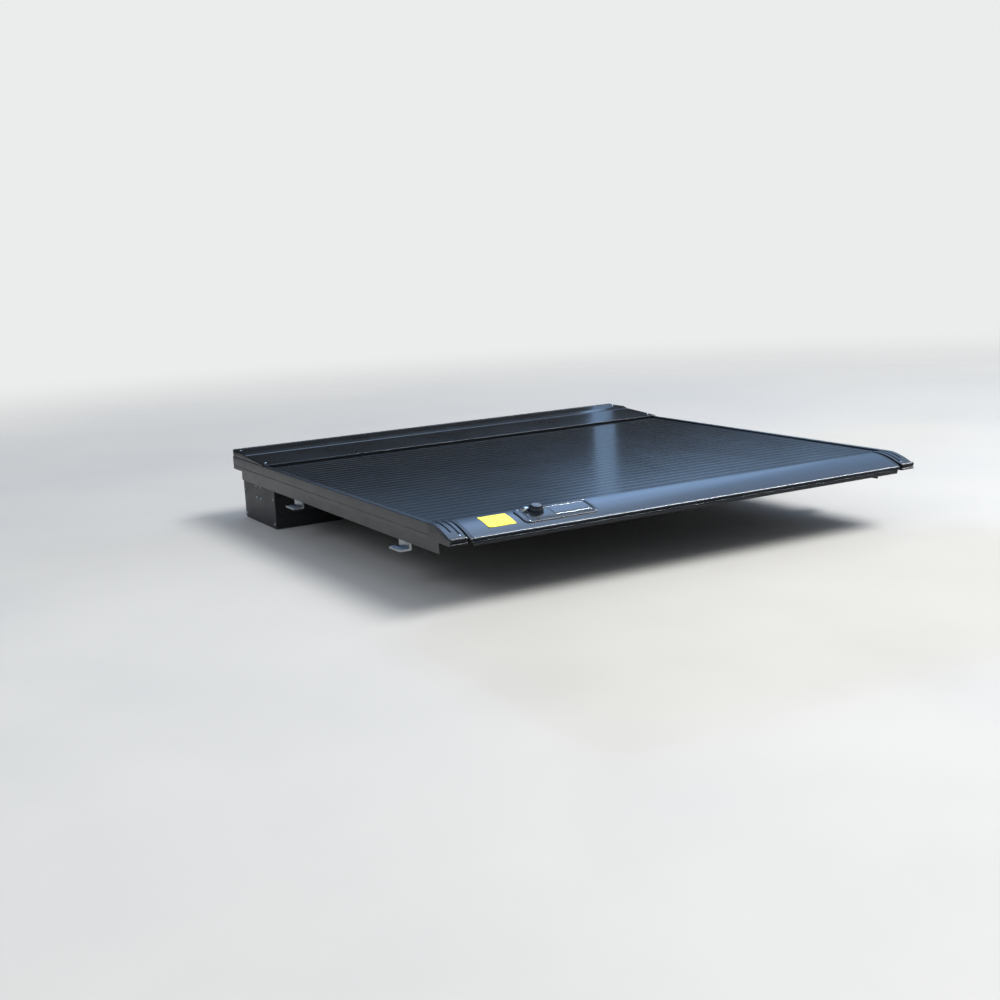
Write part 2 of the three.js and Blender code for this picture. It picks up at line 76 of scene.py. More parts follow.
def toLinear(hexColour):
    parts = [int(hexColour[i:i + 2], 16) / 255 for i in (1, 3, 5)]
    return tuple(p / 12.92 if p <= 0.04045 else ((p + 0.055) / 1.055) ** 2.4 for p in parts) + (1.0,)


def addNode(tree, kind, settings=None, links=None):
    node = tree.nodes.new(kind)
    for key, value in (settings or {}).items():
        if isinstance(key, int) or key in node.inputs:
            node.inputs[key].default_value = value
        else:
            setattr(node, key, value)
    for key, source in (links or {}).items():
        tree.links.new(source, node.inputs[key])
    return node


def lengths(look, *names):
    # sizes from a piece's dictionary, in metres
    return [look[name] * mm for name in names]


def startMaterial(name, shaderSettings):
    material = bpy.data.materials.new(name)
    material.use_nodes = True
    tree = material.node_tree
    tree.nodes.clear()
    shader = addNode(tree, "ShaderNodeBsdfPrincipled", shaderSettings)
    addNode(tree, "ShaderNodeOutputMaterial", links={"Surface": shader.outputs["BSDF"]})
    place = addNode(tree, "ShaderNodeTexCoord").outputs["Object"]
    return material, tree, shader, place


def stretched(tree, place, scale):
    # the same place with each axis scaled, which draws a pattern out along one of them
    return addNode(tree, "ShaderNodeMapping", {"Scale": scale}, {"Vector": place}).outputs["Vector"]


def mottled(tree, shader, place, spec):
    # two close tones and two close roughnesses that drift over the surface as real coats do
    cloud = addNode(tree, "ShaderNodeTexNoise",
                    {"Scale": 1 / (spec["driftMm"] * mm), "Detail": 4.0, "Roughness": 0.6}, {"Vector": place})
    tone = addNode(tree, "ShaderNodeValToRGB", links={"Fac": cloud.outputs["Fac"]})
    tone.color_ramp.elements[0].color = toLinear(spec["tones"][0])
    tone.color_ramp.elements[1].color = toLinear(spec["tones"][1])
    tone.color_ramp.elements[0].position = 0.32
    tone.color_ramp.elements[1].position = 0.68
    gloss = addNode(tree, "ShaderNodeMapRange",
                    {"From Min": 0.3, "From Max": 0.7, "To Min": spec["rough"][0],
                     "To Max": spec["rough"][1]}, {"Value": cloud.outputs["Fac"]})
    tree.links.new(tone.outputs["Color"], shader.inputs["Base Color"])
    tree.links.new(gloss.outputs["Result"], shader.inputs["Roughness"])


def relief(tree, shader, height, depthMm, under=None):
    bump = addNode(tree, "ShaderNodeBump", {"Distance": depthMm * mm}, {"Height": height})
    if under is not None:
        tree.links.new(under, bump.inputs["Normal"])
    tree.links.new(bump.outputs["Normal"], shader.inputs["Normal"])
    return bump.outputs["Normal"]


def textured(tree, shader, place, kind, sizeMm, depthMm, settings=None, output="Fac"):
    # one pattern of a given size, raised on the surface
    pattern = addNode(tree, kind, {"Scale": 1 / (sizeMm * mm), **(settings or {})}, {"Vector": place})
    return relief(tree, shader, pattern.outputs[output], depthMm)


# Powder-coated extruded aluminium: polyester baked on a profile. A fine orange peel softens what it
# reflects, and faint lines from the die run across the bed.
coatSpec = {
    "slat": {"tones": ("#0d1013", "#12161a"), "rough": (0.19, 0.22), "driftMm": 160, "peelMm": 1.4,
             "peelDepthMm": 0.004, "dieMm": 1.1, "dieDepthMm": 0.004},
    "bar": {"tones": ("#12161b", "#181d23"), "rough": (0.23, 0.27), "driftMm": 90, "peelMm": 1.4,
            "peelDepthMm": 0.005, "dieMm": 1.6, "dieDepthMm": 0.002},
    "rail": {"tones": ("#0f1113", "#16181b"), "rough": (0.32, 0.4), "driftMm": 50, "peelMm": 1.2,
             "peelDepthMm": 0.01, "dieMm": 1.2, "dieDepthMm": 0.004},
}


def powderCoatedAluminium(name, spec, along):
    material, tree, shader, place = startMaterial(name, {"IOR": 1.5, "Metallic": 0.0, "Coat Weight": 0.15,
                                                         "Coat Roughness": 0.2})
    mottled(tree, shader, place, spec)
    peel = textured(tree, shader, place, "ShaderNodeTexNoise", spec["peelMm"], spec["peelDepthMm"],
                    {"Detail": 2.0})
    across = [1 / (spec["dieMm"] * mm)] * 3
    across[along] = 1.2
    lines = addNode(tree, "ShaderNodeTexNoise", {"Scale": 1.0, "Detail": 2.0},
                    {"Vector": stretched(tree, place, across)})
    relief(tree, shader, lines.outputs["Fac"], spec["dieDepthMm"], peel)
    return material


# Moulded thermoplastics: nylon and ABS from a spark-eroded tool, with a fine even grain and a soft sheen.
mouldSpec = {
    "nylon": {"tones": ("#121416", "#181a1d"), "rough": (0.27, 0.34), "driftMm": 40, "grainMm": 0.8,
              "grainDepthMm": 0.008},
    "lid": {"tones": ("#111417", "#171b1f"), "rough": (0.26, 0.32), "driftMm": 90, "grainMm": 0.9,
            "grainDepthMm": 0.005},
    "lockPlate": {"tones": ("#111418", "#171b20"), "rough": (0.26, 0.32), "driftMm": 25, "grainMm": 0.7,
                  "grainDepthMm": 0.006},
    # the knob face tones are a lighter grey than the black knob: a painted highlight for the sky that its top
    # mirrors
    "knobFacePaintedHighlight": {"tones": ("#363b41", "#40464d"), "rough": (0.34, 0.42), "driftMm": 10, "grainMm": 0.5,
                 "grainDepthMm": 0.004},
    "knob": {"tones": ("#08090a", "#0d0e10"), "rough": (0.38, 0.46), "driftMm": 12, "grainMm": 0.6,
             "grainDepthMm": 0.005},
}


def mouldedPlastic(name, spec):
    material, tree, shader, place = startMaterial(name, {"IOR": 1.49, "Metallic": 0.0})
    mottled(tree, shader, place, spec)
    textured(tree, shader, place, "ShaderNodeTexVoronoi", spec["grainMm"], spec["grainDepthMm"],
             {"feature": "SMOOTH_F1"}, "Distance")
    return material


# Black painted steel sheet, folded: a wavier coat than powder on extrusion, with faint rolling marks.
sheetSpec = {"tones": ("#121315", "#1b1c1f"), "rough": (0.4, 0.52), "driftMm": 120, "waveMm": 3.5,
             "waveDepthMm": 0.05}


def paintedSheet(name, spec):
    material, tree, shader, place = startMaterial(name, {"IOR": 1.5, "Metallic": 0.0})
    mottled(tree, shader, place, spec)
    textured(tree, shader, place, "ShaderNodeTexNoise", spec["waveMm"], spec["waveDepthMm"], {"Detail": 3.0})
    return material


# Plated and bare metals. Zinc shows small spangles; a mill-finish tube shows drawing lines; spring steel is
# blued; chrome is nearly a mirror with a trace of polishing haze.
metalSpec = {
    "zinc": {"tones": ("#8f9498", "#b3b7ba"), "rough": (0.28, 0.42), "driftMm": 9, "cellMm": 4,
             "cellDepthMm": 0.01},
    "spring": {"tones": ("#3c424c", "#5a616c"), "rough": (0.25, 0.38), "driftMm": 15, "cellMm": 1.5,
               "cellDepthMm": 0.008},
    "chrome": {"tones": ("#d4d7da", "#e4e6e8"), "rough": (0.06, 0.12), "driftMm": 6, "cellMm": 2,
               "cellDepthMm": 0.002},
    "stainless": {"tones": ("#a8abad", "#c6c8ca"), "rough": (0.18, 0.28), "driftMm": 5, "cellMm": 0.8,
                  "cellDepthMm": 0.004},
}


def platedMetal(name, spec):
    material, tree, shader, place = startMaterial(name, {"Metallic": 1.0})
    mottled(tree, shader, place, spec)
    textured(tree, shader, place, "ShaderNodeTexVoronoi", spec["cellMm"], spec["cellDepthMm"],
             output="Distance")
    return material


tubeSpec = {"tones": ("#a5a8ab", "#c2c4c6"), "rough": (0.28, 0.4), "driftMm": 30, "lineMm": 0.8,
            "lineDepthMm": 0.02}


def drawnAluminium(name, spec):
    material, tree, shader, place = startMaterial(name, {"Metallic": 1.0})
    mottled(tree, shader, place, spec)
    fine = 1 / (spec["lineMm"] * mm)
    lines = addNode(tree, "ShaderNodeTexNoise", {"Scale": 1.0, "Detail": 3.0},
                    {"Vector": stretched(tree, place, (2.0, fine, fine))})
    relief(tree, shader, lines.outputs["Fac"], spec["lineDepthMm"])
    return material


# Extruded EPDM rubber: matt, slightly dusty, with fine pores.
rubberSpec = {"tones": ("#0c0c0d", "#161617"), "rough": (0.7, 0.85), "driftMm": 18, "poreMm": 0.6,
              "poreDepthMm": 0.04}


def extrudedRubber(name, spec):
    material, tree, shader, place = startMaterial(name, {"IOR": 1.52, "Sheen Weight": 0.1})
    mottled(tree, shader, place, spec)
    textured(tree, shader, place, "ShaderNodeTexNoise", spec["poreMm"], spec["poreDepthMm"], {"Detail": 3.0})
    return material


# Woven polyester webbing: plain weave, with threads near 1.6 mm so that they show, and a dull sheen.
webbingSpec = {"tones": ("#141416", "#222225"), "rough": (0.75, 0.9), "driftMm": 20, "threadMm": 1.6,
               "threadDepthMm": 0.25}


def wovenWebbing(name, spec):
    material, tree, shader, place = startMaterial(name, {"IOR": 1.5, "Sheen Weight": 0.3,
                                                         "Sheen Roughness": 0.5})
    mottled(tree, shader, place, spec)
    threads = [addNode(tree, "ShaderNodeTexWave", {"Scale": 0.31 / (spec["threadMm"] * mm),
                                                   "bands_direction": way}, {"Vector": place})
               for way in ("X", "Y")]
    weave = addNode(tree, "ShaderNodeMath", {"operation": "MAXIMUM"},
                    {0: threads[0].outputs["Fac"], 1: threads[1].outputs["Fac"]})
    relief(tree, shader, weave.outputs["Value"], spec["threadDepthMm"])
    return material


# Cut nylon pile of the wiper brush: soft and light-swallowing, streaked from hair to hair.
pileSpec = {"tones": ("#08080a", "#17171a"), "rough": (0.85, 0.95), "driftMm": 1.5, "hairMm": 0.5,
            "hairDepthMm": 0.2}


def nylonPile(name, spec):
    material, tree, shader, place = startMaterial(name, {"IOR": 1.5, "Sheen Weight": 0.4})
    mottled(tree, shader, place, spec)
    hair = addNode(tree, "ShaderNodeTexNoise", {"Scale": 1.0, "Detail": 2.0},
                   {"Vector": stretched(tree, place, (1 / (spec["hairMm"] * mm), 200.0, 60.0))})
    relief(tree, shader, hair.outputs["Fac"], spec["hairDepthMm"])
    return material


# Printed vinyl: the yellow sticker is matt-laminated and slightly cockled, the dark label is glossy.
vinylSpec = {
    "yellow": {"tones": ("#f1e62e", "#f7ee48"), "rough": (0.42, 0.52), "driftMm": 22, "cockleMm": 14,
               "cockleDepthMm": 0.18},
    "label": {"tones": ("#15191e", "#1c2127"), "rough": (0.3, 0.36), "driftMm": 30, "cockleMm": 20,
              "cockleDepthMm": 0.05},
}


def printedVinyl(name, spec):
    material, tree, shader, place = startMaterial(name, {"IOR": 1.46, "Coat Weight": 0.2,
                                                         "Coat Roughness": 0.15})
    mottled(tree, shader, place, spec)
    textured(tree, shader, place, "ShaderNodeTexNoise", spec["cockleMm"], spec["cockleDepthMm"],
             {"Detail": 2.0})
    return material


slatCoat = powderCoatedAluminium("satinPowderCoatSlat", coatSpec["slat"], 0)
barCoat = powderCoatedAluminium("satinPowderCoatBar", coatSpec["bar"], 0)
railCoat = powderCoatedAluminium("finePowderCoatRail", coatSpec["rail"], 1)
nylon = mouldedPlastic("mouldedNylon", mouldSpec["nylon"])
lidPlastic = mouldedPlastic("mouldedAbsLid", mouldSpec["lid"])
lockPlastic = mouldedPlastic("mouldedAbsLockPlate", mouldSpec["lockPlate"])
knobPlastic = mouldedPlastic("mouldedKnob", mouldSpec["knob"])
knobFacePaintedHighlight = mouldedPlastic("mouldedKnobFacePaintedHighlight", mouldSpec["knobFacePaintedHighlight"])
sheetPaint = paintedSheet("paintedSheetSteel", sheetSpec)
zinc = platedMetal("zincPlatedSteel", metalSpec["zinc"])
springSteel = platedMetal("bluedSpringSteel", metalSpec["spring"])
chrome = platedMetal("chromePlate", metalSpec["chrome"])
stainless = platedMetal("stainlessScrew", metalSpec["stainless"])
tubeAluminium = drawnAluminium("millFinishTube", tubeSpec)
rubber = extrudedRubber("epdmRubber", rubberSpec)
webbing = wovenWebbing("polyesterWebbing", webbingSpec)
pile = nylonPile("nylonPile", pileSpec)
yellowVinyl = printedVinyl("yellowVinyl", vinylSpec["yellow"])
labelVinyl = printedVinyl("labelVinyl", vinylSpec["label"])
print("materials made")


def loft(bm, loops, caps=True):
    # rings of equally many points joined by quads, with both ends closed
    rings = [[bm.verts.new(p) for p in loop] for loop in loops]
    for a, b in zip(rings, rings[1:]):
        for i in range(len(a)):
            j = (i + 1) % len(a)
            bm.faces.new((a[i], a[j], b[j], b[i]))
    if caps:
        ends = [bm.faces.new(rings[0][::-1]), bm.faces.new(rings[-1])]
        bmesh.ops.triangulate(bm, faces=ends)


def prism(bm, outlines, toSpace, low, high):
    # an outline with holes, drawn out from low to high; toSpace turns (u, v, w) into a place
    rings = []
    for outline in outlines:
        rings.append([[bm.verts.new(toSpace(u, v, w)) for u, v in outline] for w in (low, high)])
        for i in range(len(outline)):
            j = (i + 1) % len(outline)
            a, b = rings[-1]
            bm.faces.new((a[i], a[j], b[j], b[i]))
    flat = [[Vector((u, v, 0)) for u, v in outline] for outline in outlines]
    for side in (0, 1):
        corners = [v for pair in rings for v in pair[side]]
        for triangle in tessellate_polygon(flat):
            bm.faces.new([corners[i] for i in triangle])


def alongX(u, v, w):
    return Vector((w, u, v))


def alongY(u, v, w):
    return Vector((u, w, v))


def rounded(points, steps=5):
    # (u, v, radius) corners to an outline with true arcs
    outline = []
    for k, (u, v, radius) in enumerate(points):
        here = Vector((u, v))
        before = Vector(points[k - 1][:2]) - here
        after = Vector(points[(k + 1) % len(points)][:2]) - here
        if radius <= 0 or before.angle(after) < 0.01:
            outline.append((u, v))
            continue
        half = before.angle(after) / 2
        reach = min(radius / math.tan(half), before.length * 0.49, after.length * 0.49)
        start, end = here + before.normalized() * reach, here + after.normalized() * reach
        for i in range(steps + 1):
            t = i / steps
            point = start.lerp(here, t).lerp(here.lerp(end, t), t)
            outline.append((point.x, point.y))
    return outline


def loopRectangle(x0, x1, y0, y1, radius, cornerSteps=6, sideSteps=8):
    # a rounded rectangle with the same number of points whatever its size
    radius = max(min(radius, (x1 - x0) / 2.01, (y1 - y0) / 2.01), 1e-5)
    corners = [(x1 - radius, y0 + radius, -90), (x1 - radius, y1 - radius, 0),
               (x0 + radius, y1 - radius, 90), (x0 + radius, y0 + radius, 180)]
    arcs = [[(x + radius * math.cos(math.radians(start + 90 * i / cornerSteps)),
              y + radius * math.sin(math.radians(start + 90 * i / cornerSteps)))
             for i in range(cornerSteps + 1)] for x, y, start in corners]
    points = []
    for k, arc in enumerate(arcs):
        points += arc
        a, b = arc[-1], arcs[(k + 1) % 4][0]
        points += [(a[0] + (b[0] - a[0]) * i / sideSteps, a[1] + (b[1] - a[1]) * i / sideSteps)
                   for i in range(1, sideSteps)]
    return points


def circle(radius, count, x=0.0, y=0.0):
    return [(x + radius * math.cos(2 * math.pi * i / count), y + radius * math.sin(2 * math.pi * i / count))
            for i in range(count)]


def makePiece(name, bm, material, body, stoodFor=(), smoothAngle=32):
    bmesh.ops.remove_doubles(bm, verts=bm.verts, dist=2e-6)
    bmesh.ops.dissolve_degenerate(bm, edges=bm.edges, dist=1e-6)
    bmesh.ops.recalc_face_normals(bm, faces=bm.faces)
    mesh = bpy.data.meshes.new(name)
    bm.to_mesh(mesh)
    bm.free()
    mesh.polygons.foreach_set("use_smooth", [True] * len(mesh.polygons))
    mesh.set_sharp_from_angle(angle=math.radians(smoothAngle))
    mesh.materials.append(material)
    piece = bpy.data.objects.new(name, mesh)
    bpy.context.scene.collection.objects.link(piece)
    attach(piece, body)
    if stoodFor:
        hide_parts(*stoodFor)
    return piece


def sides():
    return (("left", -1), ("right", 1))


# Places that several pieces share, all read from the frame
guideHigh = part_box("right_bar_guide")[1]
capLow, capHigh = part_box("right_end_cap")
railLow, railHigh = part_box("right_rail")
shellLow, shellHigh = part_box("canister_shell")
slatNames = sorted(name for name in frame["nodes"] if name.startswith("slat_"))
firstLow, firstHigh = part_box(slatNames[0])
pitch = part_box(slatNames[1])[0].y - firstLow.y
curtainStart = firstLow.y
barDepth = guideHigh.y
barTop = guideHigh.z
guideOuter = capLow.x - 6 * mm
channelLow, channelHigh = firstLow.z - 0.6 * mm, firstHigh.z + 0.6 * mm
barShape = {"lipZ": 14 * mm, "lipDepth": 5 * mm, "curve": 1.9}


def barSkin(y):
    share = min(max((y - barShape["lipDepth"]) / (barDepth - barShape["lipDepth"]), 0), 1)
    return barShape["lipZ"] + (barTop - barShape["lipZ"]) * (1 - (1 - share) ** barShape["curve"])


def skinRun(y0, y1, rise, steps, top=1.0):
    places = [y0 + (y1 - y0) * i / steps for i in range(steps + 1)]
    return [(y, min(barSkin(y) + rise, top)) for y in places]


# Slat: a crowned skin with fine ribs across the bed, three webs below and a hook that holds the next slat
slatLook = {"rearShoulderMm": 0.35, "cabShoulderMm": 1.3, "crownMm": 0.18, "ribs": 6, "ribDepthMm": 0.04,
            "skinMm": 2.2, "webMm": 2.0, "seamMm": 0.6, "hookReachMm": 2.0, "hookDropMm": 5.0,
            "hookRiseMm": 1.5, "hookMm": 2.0, "hookClearMm": 0.6, "edgeMm": 0.3, "rootMm": 0.5,
            "topPoints": 72}


def hookRun(root, web):
    # a hook that reaches up behind the web beyond it, from root and back to root
    hook, clear, reach, edge, rootRound = lengths(slatLook, "hookMm", "hookClearMm", "hookReachMm", "edgeMm",
                                                  "rootMm")
    low = firstLow.z + slatLook["hookRiseMm"] * mm
    skin = firstHigh.z - slatLook["skinMm"] * mm
    tip = web + clear + reach
    return [(root, low, 0), (tip, low, 0.6 * mm), (tip, skin - clear, rootRound),
            (web + clear, skin - clear, edge), (web + clear, low + hook, 0), (root, low + hook, 0)]


def slatOutline():
    look = slatLook
    top, bottom = firstHigh.z, firstLow.z
    rear, front = look["seamMm"] * mm / 2, pitch - look["seamMm"] * mm / 2
    web, drop, edge, root = lengths(look, "webMm", "hookDropMm", "edgeMm", "rootMm")
    skin = top - look["skinMm"] * mm
    below = [(rear, top - drop, 0.4 * mm), (rear + web, top - drop, 0), (rear + web, skin, root),
             (pitch / 2 - web / 2, skin, root), (pitch / 2 - web / 2, bottom, edge),
             (pitch / 2 + web / 2, bottom, edge), (pitch / 2 + web / 2, skin, root),
             (front - web, skin, root), (front - web, bottom, edge), (front, bottom, edge)]
    below += hookRun(front, pitch + web)
    above = []
    for i in range(look["topPoints"] + 1):
        share = i / look["topPoints"]
        y = front + (rear - front) * share
        atRear = y - rear < front - y
        inward = min(y - rear, front - y)
        shoulder = look["rearShoulderMm" if atRear else "cabShoulderMm"] * mm
        fall = shoulder - math.sqrt(max(shoulder ** 2 - max(shoulder - inward, 0) ** 2, 0))
        crown = look["crownMm"] * mm * (2 * share - 1) ** 2
        rib = look["ribDepthMm"] * mm * (0.5 - 0.5 * math.cos(2 * math.pi * look["ribs"] * share))
        above.append((y, top - fall - crown - rib))
    return rounded(below, 3) + above


def addSlats():
    outline = slatOutline()
    for k, name in enumerate(slatNames):
        start = curtainStart + k * pitch
        bm = bmesh.new()
        prism(bm, [[(start + y, z) for y, z in outline]], alongX, firstLow.x, firstHigh.x)
        piece = makePiece(name + "_profile", bm, slatCoat, name, (name,), 28)
        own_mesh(piece)


addSlats()
print("curtain made:", len(slatNames), "slats")


# End bar: hollow extrusion whose skin curves down to a rounded nose, then a groove and a lower band
barLook = {"wallMm": 3.2, "floorZMm": 4.0, "bandZMm": 1.0, "bandReachMm": 14, "curvePoints": 48,
           "noseYMm": 0.4, "noseMm": 5.6, "noseMiddleMm": 9.0, "noseFromTo": (116, 205), "noseSteps": 14,
           "chamberInMm": 16, "grooveTopMm": 6.5, "grooveFloorMm": 3.8, "grooveInMm": 4.6, "edgeMm": 0.6}


def barOutlines():
    look = barLook
    wall, floorZ, bandZ, bandReach = lengths(look, "wallMm", "floorZMm", "bandZMm", "bandReachMm")
    grooveTop, grooveFloor, grooveIn = lengths(look, "grooveTopMm", "grooveFloorMm", "grooveInMm")
    edge = look["edgeMm"] * mm
    noseY, reach, middleZ, chamberIn = lengths(look, "noseYMm", "noseMm", "noseMiddleMm", "chamberInMm")
    lipY = barShape["lipDepth"]
    skinPart = skinRun(lipY + 1.5 * mm, barDepth - 2 * mm, 0, look["curvePoints"])[::-1]
    middle = (noseY + reach, middleZ)
    start, end = look["noseFromTo"]
    nose = []
    for i in range(look["noseSteps"] + 1):
        angle = math.radians(start + (end - start) * i / look["noseSteps"])
        nose.append((middle[0] + reach * math.cos(angle), middle[1] + reach * math.sin(angle)))
    under = [(grooveIn, grooveTop, 0.3 * mm), (grooveIn, grooveFloor, 0.3 * mm),
             (1.6 * mm, grooveFloor - 0.1 * mm, 0.7 * mm), (1.2 * mm, bandZ, edge), (bandReach, bandZ, edge),
             (bandReach, floorZ, 0)]
    back = [(barDepth, floorZ, edge), (barDepth, barTop, 1.2 * mm)]
    outer = rounded(back + [(y, z, 0) for y, z in skinPart + nose] + under, 4)
    inner = skinRun(lipY + chamberIn, barDepth - wall, -wall, 20)
    chamber = [(lipY + chamberIn, floorZ + wall)] + inner + [(barDepth - wall, floorZ + wall)]
    return [outer, chamber]


def addEndBar():
    low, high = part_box("end_bar")
    bm = bmesh.new()
    prism(bm, barOutlines(), alongX, low.x, high.x)
    makePiece("end_bar_extrusion", bm, barCoat, "bar", ("end_bar",), 40)
    return low, high


def addBarHook(low, high):
    # the hook that holds the first slat is a strip of its own, which gathers with that slat
    outline = hookRun(barDepth + 0.05 * mm, curtainStart + slatLook["webMm"] * mm)
    bm = bmesh.new()
    prism(bm, [rounded(outline, 4)], alongX, low.x, high.x)
    piece = makePiece("end_bar_hook", bm, barCoat, slatNames[0], (), 40)
    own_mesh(piece)


addBarHook(*addEndBar())


# Moulded bar ends: a thick plate with softened edges, and the shoe that runs in the rail's channel
guideLook = {"edgeMm": 0.9, "gapMm": 0.3, "shoeMm": 27, "shoeCornerMm": 2, "halfDepthMm": 45,
             "noseMm": ((2.6, 12.4), (1.0, 10.4), (0.5, 8.0), (0.9, 5.6), (1.6, 4.4), (14, 4))}


def addBarGuides():
    edge, gap, shoeLength, shoeCorner = lengths(guideLook, "edgeMm", "gapMm", "shoeMm", "shoeCornerMm")
    plateIn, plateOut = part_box("end_bar")[1].x + gap, guideOuter
    shoeRear = guideHigh.y - shoeLength
    for side, sign in sides():
        outline = [(barDepth, 4 * mm), (barDepth, barTop - edge)]
        outline += skinRun(barShape["lipDepth"], barDepth - edge, 0, 24)[::-1]
        outline += [(y * mm, z * mm) for y, z in guideLook["noseMm"]]
        middle = Vector((0.6 * barDepth, 14 * mm))
        loops = []
        for x, inset in ((plateIn, 0.9), (plateIn + 0.5 * mm, 0), (plateIn + 4.0 * mm, 0),
                         (plateIn + 4.3 * mm, 0.9), (plateIn + 5.1 * mm, 0.9), (plateIn + 5.4 * mm, 0),
                         (plateOut - edge, 0), (plateOut - 0.3 * edge, 0.3), (plateOut, 0.9)):
            pull = inset / guideLook["halfDepthMm"]
            loops.append([Vector((sign * x, y + (middle.x - y) * pull, z + (middle.y - z) * pull))
                          for y, z in outline])
        bm = bmesh.new()
        loft(bm, loops)
        block = [loopRectangle(shoeRear + inset, guideHigh.y - inset, firstLow.z + inset,
                               firstHigh.z - gap - inset, shoeCorner, 3, 2) for inset in (0, 0, 0.8 * mm)]
        reach = (plateOut - 1 * mm, railHigh.x - 7 * mm, railHigh.x - 6.2 * mm)
        loft(bm, [[Vector((sign * x, y, z)) for y, z in ring] for x, ring in zip(reach, block)])
        makePiece(side + "_bar_end", bm, nylon, "bar", (side + "_bar_guide",))


addBarGuides()


# End cap: a moulding that carries the rail's line down to the tailgate, with two moulded flutes on top
capLook = {"edgeMm": 2.0, "riseMm": 1.5, "fluteMm": (17.5, 34.0), "fluteWidthMm": 5.0, "fluteDepthMm": 3.4,
           "fluteRearMm": (33, 16), "fluteRunMm": 5, "steps": 40, "noseMm": 6.2, "noseFromTo": (250, 114),
           "noseSteps": 10, "wallMm": 3.5, "shoeRoomMm": 29.4,
           "footMm": ((1.6, 0.0), (1.0, 0.5), (1.0, 4.2), (1.6, 4.8), (3.4, 5.0), (3.4, 6.6))}


def capStation(inset, flute):
    # side outline of the cap, pulled in by inset and cut by a flute's (depth, rear end): a foot, a lower
    # band, a groove, a rounded nose and then the long top
    front = railLow.y - 0.3 * mm
    depth, rearEnd = flute
    points = [(y * mm + inset, z * mm) for y, z in capLook["footMm"]]
    radius = capLook["noseMm"] * mm
    middle = (radius, 7.0 * mm + radius)
    start, end = capLook["noseFromTo"]
    for i in range(capLook["noseSteps"] + 1):
        angle = math.radians(start + (end - start) * i / capLook["noseSteps"])
        points.append((middle[0] + inset + (radius - inset) * math.cos(angle),
                       middle[1] + (radius - inset) * math.sin(angle)))
    for y, z in skinRun(9 * mm, front, capLook["riseMm"] * mm, capLook["steps"], railHigh.z):
        ease = min(max((y - rearEnd) / (capLook["fluteRunMm"] * mm), 0), 1)
        points.append((y, z - inset - depth * ease * ease * (3 - 2 * ease)))
    return points, front


def quarterFall(share):
    # how far a quarter-round edge has fallen, from 1 at the side to 0 where it meets the top
    return 1 - math.sqrt(1 - (1 - share) ** 2)


def addEndCaps():
    edge, wall, shoeRoom = lengths(capLook, "edgeMm", "wallMm", "shoeRoomMm")
    shoeRear = guideHigh.y - shoeRoom
    innerX, outerX = capLow.x, capHigh.x
    wallX = outerX - wall
    innerEdge = edge * 0.6
    stations = [(innerX + innerEdge * share, innerEdge * quarterFall(share), 0, 0, True)
                for share in (0, 0.12, 0.35, 0.65, 1)]
    for offset, rearEnd in sorted(zip(capLook["fluteMm"], capLook["fluteRearMm"]), reverse=True):
        half = capLook["fluteWidthMm"] * mm / 2
        for share in (-1, -0.7, -0.35, 0, 0.35, 0.7, 1):
            depth = capLook["fluteDepthMm"] * mm * math.sqrt(max(1 - share * share, 0))
            stations.append((outerX - offset * mm + half * share, 0, depth, rearEnd * mm, True))
    stations += [(wallX, 0, 0, 0, True), (wallX, 0, 0, 0, False)]
    stations += [(outerX - edge * share, edge * quarterFall(share), 0, 0, False)
                 for share in (1, 0.65, 0.35, 0.12, 0)]
    stations.sort(key=lambda s: (s[0], not s[4]))
    for side, sign in sides():
        loops = []
        for x, inset, depth, rearEnd, hasChannel in stations:
            points, front = capStation(inset, (depth, rearEnd))
            rear = shoeRear if hasChannel else front
            points += [(front, channelHigh), (rear, channelHigh), (rear, channelLow), (front, channelLow),
                       (front, 0.0)]
            loops.append([Vector((sign * x, y, z)) for y, z in points])
        bm = bmesh.new()
        loft(bm, loops)
        makePiece(side + "_cap_moulding", bm, nylon, "frame", (side + "_end_cap",), 30)


addEndCaps()


# Side rail: box foot, guide channel open to the curtain, softened lip, and a leg down inside the bed
railLook = {"wallMm": 3.5, "lipMm": 14, "lipEdgeMm": 1.2, "outerEdgeMm": 2.2, "grooveMm": 1.6,
            "grooveZMm": (11, 11.6, 13, 13.6), "foldMm": 0.8, "edgeMm": 0.6, "fineEdgeMm": 0.2}


def addRails():
    wall, lip, groove, fold, edge, fine = lengths(railLook, "wallMm", "lipMm", "grooveMm", "foldMm", "edgeMm",
                                                  "fineEdgeMm")
    lipEdge, outerEdge = lengths(railLook, "lipEdgeMm", "outerEdgeMm")
    inner, outer, top = railLow.x, railHigh.x, railHigh.z
    lipInner = outer - lip
    grooveZ = [z * mm for z in railLook["grooveZMm"]]
    section = [(inner, railLow.z, fold), (inner + wall, railLow.z, fold), (inner + wall, 0, edge),
               (outer, 0, edge), (outer, grooveZ[0], fine), (outer - groove / 2, grooveZ[1], fine),
               (outer - groove / 2, grooveZ[2], fine), (outer, grooveZ[3], fine), (outer, top, outerEdge),
               (lipInner, top, lipEdge), (lipInner, channelHigh, edge), (outer - wall, channelHigh, 0.5 * mm),
               (outer - wall, channelLow, fold), (inner, channelLow, edge)]
    ceiling = channelLow - wall
    chamber = [(inner + wall, wall, edge), (outer - wall, wall, edge), (outer - wall, ceiling, edge),
               (inner + wall, ceiling, edge)]
    for side, sign in sides():
        bm = bmesh.new()
        outlines = [[(sign * u, v) for u, v in rounded(part, 5)] for part in (section, chamber)]
        prism(bm, outlines, alongY, railLow.y, railHigh.y)
        makePiece(side + "_rail_extrusion", bm, railCoat, "frame",
                  (side + "_rail",), 40)


addRails()
print("end bar, caps and rails made")


# Lid: a long slope up from the mouth, a shallow groove, a step, and a rounded front edge
lidLook = {"wallMm": 3.0, "grooveShare": 0.58, "grooveDepthMm": 2.6, "stepMm": 8.0, "edgeMm": 4.0,
           "endEdgeMm": 3.0, "lipMm": 3.4, "mouthMm": 8.0}


